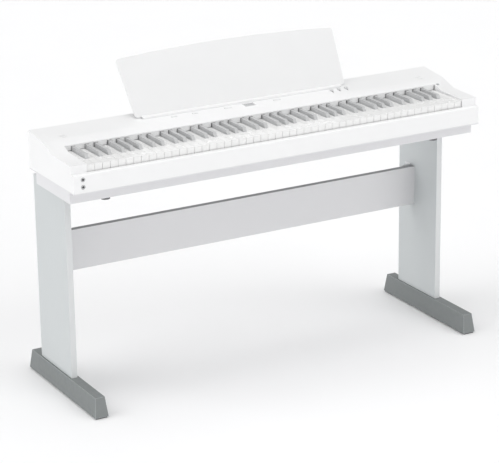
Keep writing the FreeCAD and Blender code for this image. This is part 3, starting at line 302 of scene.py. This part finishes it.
def worn_black_key(name, colour):
    """Matt key top: fine grain along the key, polished in patches where fingers land."""
    made, tree, shader = new_material(name)
    fibres = noise(tree, texture_space(tree, (1, 0.08, 1)), per_metre=1900, detail=3)
    patches = noise(tree, texture_space(tree), per_metre=45)
    tinted(tree, shader, patches, shade(colour, 0.93), shade(colour, 1.07))
    uneven_gloss(tree, shader, patches, low=0.34, high=0.52)
    bump(tree, shader, fibres, distance=0.02 * MM)
    return made


def key_white(name, colour):
    """Polished acrylic key: a faint grain along the key, finger polish and a thin clear coat."""
    made, tree, shader = new_material(name)
    fibres = noise(tree, texture_space(tree, (1, 0.1, 1)), per_metre=1400, detail=2)
    patches = noise(tree, texture_space(tree), per_metre=28)
    tinted(tree, shader, patches, shade(colour, 0.985), shade(colour, 1.01))
    uneven_gloss(tree, shader, patches, low=0.2, high=0.3)
    clear_coat(shader, weight=0.25, roughness=0.12)
    bump(tree, shader, fibres, distance=0.006 * MM)
    return made


def display_glass(name, colour):
    """Display window: glossy, with a faint dither of dust and slight waves."""
    made, tree, shader = new_material(name)
    space = texture_space(tree)
    dust = noise(tree, space, per_metre=900, detail=1)
    tinted(tree, shader, dust, shade(colour, 0.9), shade(colour, 1.1))
    uneven_gloss(tree, shader, noise(tree, space, per_metre=60), low=0.06, high=0.14)
    clear_coat(shader, weight=1.0, roughness=0.03)
    bump(tree, shader, noise(tree, space, per_metre=30), distance=0.02 * MM)
    return made


def display_field(name, colour):
    """The lit field behind the window: a square grid of cells with darker lines between."""
    made, tree, shader = new_material(name)
    cells = tree.nodes.new("ShaderNodeTexBrick")
    cells.offset = 0.0
    cells.inputs["Scale"].default_value = 900
    cells.inputs["Brick Width"].default_value = 0.5
    cells.inputs["Row Height"].default_value = 0.5
    cells.inputs["Mortar Size"].default_value = 0.05
    cells.inputs["Color1"].default_value = (*colour, 1)
    cells.inputs["Color2"].default_value = (*shade(colour, 1.05), 1)
    cells.inputs["Mortar"].default_value = (*shade(colour, 0.8), 1)
    space = texture_space(tree)
    tree.links.new(space, cells.inputs["Vector"])
    tree.links.new(cells.outputs["Color"], shader.inputs["Base Color"])
    uneven_gloss(tree, shader, noise(tree, space, per_metre=60), low=0.12, high=0.2)
    shader.inputs["Coat Weight"].default_value = 1.0
    bump(tree, shader, cells.outputs["Fac"], distance=0.01 * MM)
    return made


def speaker_cloth(name, colour):
    """Woven acoustic cloth: two crossed sets of threads, darker in the holes."""
    made, tree, shader = new_material(name)
    space = texture_space(tree)
    threads = []
    for direction in ("X", "Z"):
        wave = tree.nodes.new("ShaderNodeTexWave")
        wave.bands_direction = direction
        wave.inputs["Scale"].default_value = 260
        wave.inputs["Distortion"].default_value = 0.6
        tree.links.new(space, wave.inputs["Vector"])
        threads.append(wave.outputs["Fac"])
    weave = tree.nodes.new("ShaderNodeMath")
    weave.operation = "MAXIMUM"
    tree.links.new(threads[0], weave.inputs[0])
    tree.links.new(threads[1], weave.inputs[1])
    tinted(tree, shader, weave.outputs["Value"], shade(colour, 0.4), shade(colour, 1.3))
    uneven_gloss(tree, shader, noise(tree, space, per_metre=200), low=0.8, high=0.95)
    bump(tree, shader, weave.outputs["Value"], distance=0.2 * MM)
    return made


def rubber(name, colour):
    """Matt rubber: pitted skin with a dusty bloom."""
    made, tree, shader = new_material(name)
    space = texture_space(tree)
    bloom = noise(tree, space, per_metre=120)
    tinted(tree, shader, bloom, shade(colour, 0.8), shade(colour, 1.25))
    uneven_gloss(tree, shader, bloom, low=0.75, high=0.92)
    bump(tree, shader, noise(tree, space, per_metre=1800, detail=1), distance=0.05 * MM)
    return made


def coated_steel(name, colour):
    """Powder-coated sheet steel: pebbled skin, with bare metal starting to show on edges."""
    made, tree, shader = new_material(name)
    space = texture_space(tree)
    clouds = noise(tree, space, per_metre=40)
    tint = two_tones(tree, clouds, shade(colour, 0.95), shade(colour, 1.05))
    worn_and_highlit_edges(tree, shader, tint, wear_and_highlight_tone=shade(colour, 1.2), radius=0.5 * MM)
    uneven_gloss(tree, shader, clouds, low=0.42, high=0.55)
    bump(tree, shader, noise(tree, space, per_metre=1100, detail=1), distance=0.04 * MM)
    return made


def zinc_steel(name):
    """Zinc-plated sheet steel: brushed lines, cloudy plating and a dull sheen."""
    made, tree, shader = new_material(name)
    lines = noise(tree, texture_space(tree, (1, 1, 0.05)), per_metre=2200, detail=3)
    plating = noise(tree, texture_space(tree), per_metre=160)
    tinted(tree, shader, plating, (0.47, 0.48, 0.5), (0.62, 0.63, 0.64))
    uneven_gloss(tree, shader, plating, low=0.28, high=0.45)
    shader.inputs["Metallic"].default_value = 1.0
    bump(tree, shader, lines, distance=0.01 * MM)
    return made


def felt(name, colour):
    """Pressed wool felt: tangled fibres and a soft sheen."""
    made, tree, shader = new_material(name)
    space = texture_space(tree)
    fuzz = noise(tree, space, per_metre=900, detail=6, roughness=0.7)
    tinted(tree, shader, fuzz, shade(colour, 0.7), shade(colour, 1.25))
    shader.inputs["Roughness"].default_value = 0.95
    shader.inputs["Sheen Weight"].default_value = 0.6
    shader.inputs["Sheen Roughness"].default_value = 0.5
    bump(tree, shader, fuzz, distance=0.3 * MM)
    return made


def circuit_board(name):
    """Green solder mask with copper tracks that show through it."""
    made, tree, shader = new_material(name)
    space = texture_space(tree)
    tracks = tree.nodes.new("ShaderNodeTexBrick")
    tracks.inputs["Scale"].default_value = 260
    tracks.inputs["Mortar Size"].default_value = 0.06
    tracks.inputs["Color1"].default_value = (0.02, 0.10, 0.05, 1)
    tracks.inputs["Color2"].default_value = (0.02, 0.13, 0.06, 1)
    tracks.inputs["Mortar"].default_value = (0.09, 0.26, 0.12, 1)
    tree.links.new(space, tracks.inputs["Vector"])
    tree.links.new(tracks.outputs["Color"], shader.inputs["Base Color"])
    uneven_gloss(tree, shader, noise(tree, space, per_metre=90), low=0.25, high=0.4)
    bump(tree, shader, tracks.outputs["Fac"], distance=0.03 * MM)
    return made


def perforated_grille(name, colour):
    """A moulded grille: rows of dimples over plastic, with painted shade darkening each dimple."""
    made, tree, shader = new_material(name)
    space = texture_space(tree)
    holes = tree.nodes.new("ShaderNodeTexVoronoi")
    holes.inputs["Scale"].default_value = 520
    holes.inputs["Randomness"].default_value = 0.0
    tree.links.new(space, holes.inputs["Vector"])
    edge = tree.nodes.new("ShaderNodeMapRange")
    edge.inputs["From Min"].default_value = 0.28
    edge.inputs["From Max"].default_value = 0.36
    tree.links.new(holes.outputs["Distance"], edge.inputs["Value"])
    # Painted shade: the dimples are darker than the plastic between them
    tinted(tree, shader, edge.outputs["Result"], shade(colour, 0.88), colour)
    uneven_gloss(tree, shader, noise(tree, space, per_metre=80), low=0.45, high=0.6)
    bump(tree, shader, edge.outputs["Result"], distance=0.4 * MM)
    return made


def studio_floor(name):
    """Seamless pale paper: soft fibre and the gentlest clouding."""
    made, tree, shader = new_material(name)
    space = texture_space(tree)
    clouds = noise(tree, space, per_metre=2.2)
    tinted(tree, shader, clouds, (0.93, 0.93, 0.935), (0.95, 0.95, 0.955))
    shader.inputs["Roughness"].default_value = 0.9
    bump(tree, shader, noise(tree, space, per_metre=700), distance=0.02 * MM)
    return made


CASE = moulded_plastic("case_plastic", (0.855, 0.857, 0.86), 0.42, coat=0.1)
TRAY = moulded_plastic("tray_plastic", (0.73, 0.73, 0.745), 0.5)
REST = moulded_plastic("rest_plastic", (0.77, 0.772, 0.775), 0.36, grain=3200, coat=0.15)
WHITE_KEYS = key_white("white_key_acrylic", (0.88, 0.88, 0.875))
BLACK_KEYS = worn_black_key("black_key_matt", (0.52, 0.525, 0.53))
BUTTONS = moulded_plastic("button_plastic", (0.78, 0.785, 0.79), 0.4, grain=3500)
POWER = moulded_plastic("power_plastic", (0.46, 0.47, 0.48), 0.4, grain=3500)
CONTROLS = moulded_plastic("knob_plastic", (0.72, 0.725, 0.73), 0.38, grain=3500)
WINDOW = display_glass("window_glass", (0.74, 0.745, 0.75))
FIELD = display_field("display_field", (0.40, 0.41, 0.415))
PANEL_BOARD = laminated_board("stand_foil", (0.575, 0.602, 0.608))
PANEL_BAND = laminated_board("stand_edge_band", (0.66, 0.675, 0.68), 0.42)
BACK_BOARD = laminated_board("back_board_foil", (0.70, 0.70, 0.712))
# Painted shade: the back board's narrow faces are dark as if shadowed by the case above
BACK_BOARD_PAINTED_SHADE = laminated_board("back_board_painted_shade", (0.26, 0.265, 0.27))
# Foot bars: their lighter edges are a painted highlight
FOOT_BOARD = painted_bar("foot_paint", (0.205, 0.22, 0.22))
FOOT_RUBBER = rubber("foot_rubber", (0.16, 0.16, 0.165))
PAD_RUBBER = rubber("pad_rubber", (0.10, 0.10, 0.105))
STEEL = zinc_steel("zinc_steel")
COATED = coated_steel("coated_steel", (0.68, 0.69, 0.70))
FELT = felt("stop_felt", (0.35, 0.05, 0.05))
FRAME = moulded_plastic("frame_plastic", (0.06, 0.06, 0.065), 0.5)
WEIGHT = zinc_steel("hammer_metal")
CIRCUIT = circuit_board("circuit_mask")
CLOTH = speaker_cloth("speaker_cloth", (0.06, 0.06, 0.062))
SOCKET = moulded_plastic("socket_plastic", (0.42, 0.425, 0.43), 0.35)
JACK = moulded_plastic("jack_plastic", (0.10, 0.10, 0.105), 0.35)
GRILLE = perforated_grille("grille_plastic", (0.86, 0.86, 0.865))


# ---------------------------------------------------------------- mesh helpers

def finish_piece(name, bm, materials, body, stands_for=()):
    """Turns mesh data into a piece that rides on a body and may stand for CAD nodes."""
    bmesh.ops.recalc_face_normals(bm, faces=bm.faces)
    mesh = bpy.data.meshes.new(name)
    bm.to_mesh(mesh)
    bm.free()
    for face in mesh.polygons:
        face.use_smooth = True
    mesh.set_sharp_from_angle(angle=SHARP_ANGLE)
    for material in materials:
        mesh.materials.append(material)
    piece = bpy.data.objects.new(name, mesh)
    bpy.context.scene.collection.objects.link(piece)
    normals = piece.modifiers.new("FaceNormals", "WEIGHTED_NORMAL")
    normals.keep_sharp = True
    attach(piece, body)
    if stands_for:
        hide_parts(*stands_for)
    return piece


def cad_shape(name):
    """The welded mesh of a CAD node, with its flat faces whole."""
    bm = bmesh.new()
    bm.from_mesh(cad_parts[name].data)
    bmesh.ops.remove_doubles(bm, verts=bm.verts, dist=WELD)
    bmesh.ops.dissolve_limit(bm, angle_limit=FLAT_ANGLE, verts=bm.verts, edges=bm.edges)
    return bm


def round_edges(bm, radius, segments=2, keep=None):
    """Rounds each edge sharper than EDGE_ANGLE that keep accepts."""
    sharp = [edge for edge in bm.edges
             if len(edge.link_faces) == 2 and edge.calc_face_angle(0) > EDGE_ANGLE
             and (keep is None or keep(edge))]
    bmesh.ops.bevel(bm, geom=sharp, offset=radius, offset_type="OFFSET", segments=segments,
                    profile=0.5, affect="EDGES", clamp_overlap=True)


def rounded(name, radius, material, body=BODY, segments=2, keep=None):
    """A CAD node's shape with rounded edges, which stands for that node."""
    bm = cad_shape(name)
    round_edges(bm, radius, segments, keep)
    return finish_piece(name + "_piece", bm, (material,), body, (name,))


def top_face(bm):
    """The largest face that looks up."""
    upward = [face for face in bm.faces if face.normal.z > LOOKS_UP]
    return max(upward, key=lambda face: face.calc_area())


def islands(bm):
    """The connected groups of faces, in the order of the mesh."""
    left = set(bm.faces)
    groups = []
    for seed in bm.faces:
        if seed not in left:
            continue
        left.remove(seed)
        group = [seed]
        for face in group:
            for edge in face.edges:
                for other in edge.link_faces:
                    if other in left:
                        left.remove(other)
                        group.append(other)
        groups.append(group)
    return groups


def sink(bm, face, rim, depth):
    """Insets a face by rim and lowers what is inside by depth, with a narrow slope between."""
    slope = depth / 2
    bmesh.ops.inset_individual(bm, faces=[face], thickness=rim, depth=0.0, use_even_offset=True)
    bmesh.ops.inset_individual(bm, faces=[face], thickness=slope, depth=-depth, use_even_offset=True)


def drive_recess(bm, face):
    """A round drive recess in the middle of a screw's head."""
    middle = face.calc_center_median()
    radius = (face.verts[0].co - middle).length
    rim = radius * DRIVE_RIM_SHARE
    slope = radius * DRIVE_SLOPE_SHARE
    bmesh.ops.inset_individual(bm, faces=[face], thickness=rim, depth=0.0)
    bmesh.ops.inset_individual(bm, faces=[face], thickness=slope, depth=-DRIVE_DEPTH)


def split_narrow_faces(bm, axis):
    """Gives faces that look along axis the first material, and a board's narrow ones the second."""
    for face in bm.faces:
        broad = abs(face.normal[axis]) > LOOKS_ACROSS
        face.material_index = 0 if broad else 1


def block(bm, low, high, local=None):
    """Adds a box between two corners, which are placed by a matrix where one is given."""
    made = bmesh.ops.create_cube(bm, size=1.0)
    centre = (Vector(low) + Vector(high)) / 2
    size = Vector(high) - Vector(low)
    for vertex in made["verts"]:
        place = Vector([vertex.co[i] * size[i] + centre[i] for i in range(3)])
        vertex.co = local @ place if local else place


def lathe(bm, profile, centre, axis, turns=40):
    """Turns a closed profile of (radius, distance along axis) about a line through centre."""
    along = Vector(axis).normalized()
    side = along.orthogonal().normalized()
    other = along.cross(side)
    rings = []
    for radius, distance in profile:
        ring = []
        for step in range(turns):
            angle = 2 * math.pi * step / turns
            out = side * math.cos(angle) + other * math.sin(angle)
            ring.append(bm.verts.new(Vector(centre) + along * distance + out * radius))
        rings.append(ring)
    for near, far in zip(rings, rings[1:] + rings[:1]):
        for step in range(turns):
            after = (step + 1) % turns
            bm.faces.new((near[step], near[after], far[after], far[step]))


def paint_node(name, material):
    """Gives a CAD node that no piece stands for its finish."""
    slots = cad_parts[name].data.materials
    slots.clear()
    slots.append(material)


# ---------------------------------------------------------------- case

def off_plane(axis, place):
    """Accepts edges that don't lie in the plane through place across an axis."""
    def accepts(edge):
        return any(abs(vertex.co[axis] - place) > JOINT_SLACK for vertex in edge.verts)
    return accepts


def make_case():
    """The case's shells, whose edges stay sharp where the upper case and the key slip meet."""
    rounded("upper_case", CASE_EDGE, CASE, keep=off_plane(1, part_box("upper_case")[0][1]))
    rounded("key_slip", SLIP_EDGE, CASE, keep=off_plane(1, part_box("key_slip")[1][1]))
    rounded("bottom_case", TRAY_EDGE, TRAY)
    rounded("rear_covers", SMALL_EDGE, CASE)
    rounded("rear_jacks", TINY_EDGE, JACK)
    rounded("tweeter_grilles", SMALL_EDGE, GRILLE)


def make_rubber_feet():
    """Feet with a rounded tread and a sunk screw seat."""
    bm = cad_shape("rubber_feet")
    round_edges(bm, RUBBER_EDGE, segments=3)
    for group in islands(bm):
        tread = min(group, key=lambda face: face.normal.z * face.calc_area())
        sink(bm, tread, SEAT_RIM, SEAT_DEPTH)
    finish_piece("rubber_feet_piece", bm, (FOOT_RUBBER,), BODY, ("rubber_feet",))


def make_headphone_jacks():
    """The two sockets, each with a pressed metal ring around its bore."""
    rings = bmesh.new()
    bm = cad_shape("headphone_jacks")
    for group in islands(bm):
        corners = [vertex.co for face in group for vertex in face.verts]
        front = min(corner.y for corner in corners)
        face_corners = [corner for corner in corners if corner.y < front + WELD]
        middle = sum(face_corners, Vector()) / len(face_corners)
        lathe(rings, RING_SECTION, middle, (0, -1, 0))
    round_edges(bm, TINY_EDGE)
    finish_piece("headphone_jacks_piece", bm, (SOCKET,), BODY, ("headphone_jacks",))
    finish_piece("headphone_rings", rings, (STEEL,), BODY)


def make_music_rest():
    rounded("music_rest_holder", HOLDER_EDGE, CASE)
    rounded("music_rest", REST_EDGE, REST, body="music_rest", segments=3)


# ---------------------------------------------------------------- controls

def make_button(name, material):
    """A button with rounded edges and a shallow finger dish."""
    bm = cad_shape(name)
    round_edges(bm, SMALL_EDGE, segments=3)
    sink(bm, top_face(bm), BUTTON_RIM, BUTTON_DISH)
    finish_piece(name + "_piece", bm, (material,), name, (name,))


def face_frame(face):
    """The matrix of a frame in the middle of a face, with X across it and Z out of it."""
    across = Vector((1, 0, 0))
    out = face.normal.copy()
    along = out.cross(across).normalized()
    local = Matrix((across, along, out)).transposed().to_4x4()
    local.translation = face.calc_center_median()
    return local


def make_knob(name):
    """A slider's knob with grip ridges across its top."""
    bm = cad_shape(name)
    round_edges(bm, SMALL_EDGE, segments=3)
    top = top_face(bm)
    local = face_frame(top)
    wide = max(vertex.co.x for vertex in top.verts) - local.translation.x - RIDGE_SHORT
    ridges = bmesh.new()
    for step in range(RIDGE_COUNT):
        place = (step - (RIDGE_COUNT - 1) / 2) * RIDGE_PITCH
        low = (-wide, place - RIDGE_WIDE / 2, -RIDGE_TALL)
        high = (wide, place + RIDGE_WIDE / 2, RIDGE_TALL)
        block(ridges, low, high, local)
    round_edges(ridges, RIDGE_EDGE)
    finish_piece(name + "_piece", bm, (CONTROLS,), name, (name,))
    finish_piece(name + "_ridges", ridges, (CONTROLS,), name)


def make_display():
    """The window with its darker border around a sunk display field."""
    bm = cad_shape("display_window")
    round_edges(bm, TINY_EDGE)
    field = top_face(bm)
    sink(bm, field, DISPLAY_RIM, DISPLAY_SUNK)
    field.material_index = 1
    finish_piece("display_window_piece", bm, (WINDOW, FIELD), BODY, ("display_window",))


def make_controls():
    for name in ("function_button", "metronome_button", "piano_button", "layer_button"):
        make_button(name, BUTTONS)
    make_button("power_button", POWER)
    for name in ("volume_slider", "bass_slider", "treble_slider"):
        make_knob(name)
    make_display()


# ---------------------------------------------------------------- keyboard

def make_white_keys(note):
    """White keys whose tops hang over their fronts like a thin plate."""
    name = "key_" + note
    bm = cad_shape(name)
    round_edges(bm, WHITE_KEY_EDGE)
    low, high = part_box(name)
    for drop in (LIP_THICK, LIP_THICK + LIP_UNDERCUT):
        everything = bm.verts[:] + bm.edges[:] + bm.faces[:]
        bmesh.ops.bisect_plane(bm, geom=everything, dist=WELD,
                               plane_co=(0, 0, high[2] - drop), plane_no=(0, 0, 1))
    for vertex in bm.verts:
        below_lip = vertex.co.z < high[2] - LIP_THICK - LIP_UNDERCUT / 2
        at_front = vertex.co.y < low[1] + KEY_FRONT_BAND
        if below_lip and at_front:
            vertex.co.y += LIP_UNDERCUT
    finish_piece(name + "_piece", bm, (WHITE_KEYS,), name, (name,))


def black_key_spans():
    """The X range of each black key, from left to right."""
    spans = []
    for note in SHARPS:
        bm = cad_shape("key_" + note)
        for group in islands(bm):
            across = [vertex.co.x for face in group for vertex in face.verts]
            spans.append((min(across), max(across)))
        bm.free()
    return sorted(spans)


def panel_edge():
    """Y of the control panel's front edge and Z of its underside there, from the case's faces."""
    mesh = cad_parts["upper_case"].data
    fronts = []
    for face in mesh.polygons:
        corners = [mesh.vertices[index].co for index in face.vertices]
        across = [corner.x for corner in corners]
        if face.normal.y < -LOOKS_STRAIGHT and max(across) - min(across) > PANEL_FRONT_LEAST:
            fronts.append((corners[0].y, min(corner.z for corner in corners)))
    return min(fronts)


def make_slot_strip():
    """A white strip behind the control panel's edge, notched for the black keys."""
    well_left = min(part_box("key_" + note)[0][0] for note in NATURALS)
    well_right = max(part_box("key_" + note)[1][0] for note in NATURALS)
    white_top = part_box("key_c")[1][2]
    edge_y, underside = panel_edge()
    front = edge_y + STRIP_SETBACK
    bottom = white_top + STRIP_ABOVE_KEYS
    top = underside + STRIP_IN_PANEL
    band_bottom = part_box("key_c_sharp")[1][2] + STRIP_ABOVE_BLACK
    back = front + STRIP_THICK
    spans = black_key_spans()
    starts = [well_left] + [high + STRIP_BESIDE_KEYS for low, high in spans]
    ends = [low - STRIP_BESIDE_KEYS for low, high in spans] + [well_right]
    bm = bmesh.new()
    block(bm, (well_left, front, band_bottom), (well_right, back, top))
    for start, end in zip(starts, ends):
        block(bm, (start, front, bottom), (end, back, band_bottom))
    round_edges(bm, TINY_EDGE)
    finish_piece("slot_strip", bm, (CASE,), BODY)


def make_keys():
    for note in NATURALS:
        make_white_keys(note)
    for note in SHARPS:
        rounded("key_" + note, BLACK_KEY_EDGE, BLACK_KEYS, body="key_" + note)
    make_slot_strip()


def paint_inner_nodes():
    """Finishes for the nodes that only show through gaps or with keys pressed."""
    for note in NATURALS + SHARPS:
        paint_node("hammer_" + note, WEIGHT)
    for name, material in (
            ("key_frame", FRAME), ("key_pivot_rod", STEEL), ("hammer_pivot_rod", STEEL),
            ("stop_felts", FELT), ("contact_board", CIRCUIT), ("main_board", CIRCUIT),
            ("button_board", CIRCUIT), ("slider_units", FRAME), ("speakers", CLOTH)):
        paint_node(name, material)


# ---------------------------------------------------------------- stand

def make_board(name, axis, foil, narrow_finish):
    """A board with foil on its broad faces and a second finish on its narrow ones, which is painted
    shade on the back board.
    """
    bm = cad_shape(name)
    round_edges(bm, BOARD_EDGE)
    split_narrow_faces(bm, axis)
    finish_piece(name + "_piece", bm, (foil, narrow_finish), BODY, (name,))


def make_screws():
    """Screws with drive recesses in their heads."""
    bm = cad_shape("stand_screws")
    round_edges(bm, TINY_EDGE)
    for group in islands(bm):
        round_faces = [face for face in group if len(face.verts) >= HEAD_CORNERS]
        if round_faces:
            drive_recess(bm, max(round_faces, key=lambda face: face.calc_area()))
    finish_piece("stand_screws_piece", bm, (STEEL,), BODY, ("stand_screws",))


def make_stand():
    for side in ("left", "right"):
        make_board(side + "_side_panel", 0, PANEL_BOARD, PANEL_BAND)
        rounded(side + "_foot_bar", FOOT_EDGE, FOOT_BOARD, segments=4)
    # The back board's dark narrow faces are painted shade from the case above
    make_board("back_board", 1, BACK_BOARD, BACK_BOARD_PAINTED_SHADE)
    rounded("foot_pads", SMALL_EDGE, PAD_RUBBER)
    rounded("stand_brackets", SMALL_EDGE, COATED)
    make_screws()


# ---------------------------------------------------------------- studio

# The paper floor reaches out of sight
FLOOR_SIZE = 60.0


def make_floor():
    bm = bmesh.new()
    bmesh.ops.create_grid(bm, x_segments=4, y_segments=4, size=FLOOR_SIZE / 2)
    mesh = bpy.data.meshes.new("floor")
    bm.to_mesh(mesh)
    bm.free()
    mesh.materials.append(studio_floor("studio_floor"))
    floor = bpy.data.objects.new("floor", mesh)
    bpy.context.scene.collection.objects.link(floor)


# Direction towards each light, its strength and its spread in degrees
LIGHTS = {
    "front_right": ((0.40, -0.785, 0.47), 0.80, 60),
    "left": ((-0.84, 0.15, 0.52), 1.08, 60),
    "above": ((0.05, -0.10, 1.0), 1.22, 80),
}
# Surround: its brightness at the horizon and overhead, and the height where it has faded
HORIZON = 1.0
OVERHEAD = 0.36
FADE_START = 0.10
FADE_END = 0.30


def make_surround():
    """A pale surround like a studio wall: bright at the horizon, dimmer overhead."""
    world = bpy.data.worlds.new("studio")
    world.use_nodes = True
    tree = world.node_tree
    direction = tree.nodes.new("ShaderNodeTexCoord")
    parts = tree.nodes.new("ShaderNodeSeparateXYZ")
    fade = tree.nodes.new("ShaderNodeMapRange")
    fade.inputs["From Min"].default_value = FADE_START
    fade.inputs["From Max"].default_value = FADE_END
    fade.inputs["To Min"].default_value = HORIZON
    fade.inputs["To Max"].default_value = OVERHEAD
    background = tree.nodes["Background"]
    background.inputs["Color"].default_value = (1, 1, 1, 1)
    tree.links.new(direction.outputs["Generated"], parts.inputs["Vector"])
    tree.links.new(parts.outputs["Z"], fade.inputs["Value"])
    tree.links.new(fade.outputs["Result"], background.inputs["Strength"])
    bpy.context.scene.world = world


def make_lights():
    """Three broad distant lights."""
    for name, (towards, strength, spread_angle) in LIGHTS.items():
        data = bpy.data.lights.new(name, "SUN")
        data.energy = strength
        data.angle = math.radians(spread_angle)
        lamp = bpy.data.objects.new(name, data)
        lamp.rotation_euler = Vector(towards).to_track_quat("Z", "Y").to_euler()
        bpy.context.scene.collection.objects.link(lamp)


# Camera place and aim, in the frame's metres and degrees
CAMERA_PLACE = (-2.9714, -5.2996, 2.449)
CAMERA_YAW = 29.141
CAMERA_DROP = 18.843
CAMERA_ROLL = -0.805
CAMERA_LENS = 157.36


def make_camera():
    data = bpy.data.cameras.new("camera")
    data.lens = CAMERA_LENS
    data.sensor_width = 36.0
    data.clip_end = 100.0
    camera = bpy.data.objects.new("camera", data)
    yaw, drop = math.radians(CAMERA_YAW), math.radians(CAMERA_DROP)
    look = Vector((math.sin(yaw) * math.cos(drop), math.cos(yaw) * math.cos(drop), -math.sin(drop)))
    camera.matrix_world = look.to_track_quat("-Z", "Y").to_matrix().to_4x4()
    camera.rotation_euler.rotate_axis("Z", math.radians(CAMERA_ROLL))
    camera.location = CAMERA_PLACE
    bpy.context.scene.collection.objects.link(camera)
    bpy.context.scene.camera = camera


# ---------------------------------------------------------------- assembly

make_case()
make_rubber_feet()
make_headphone_jacks()
make_music_rest()
make_controls()
make_keys()
paint_inner_nodes()
make_stand()
make_floor()
make_surround()
make_lights()
make_camera()
bpy.context.scene.view_settings.view_transform = "Standard"
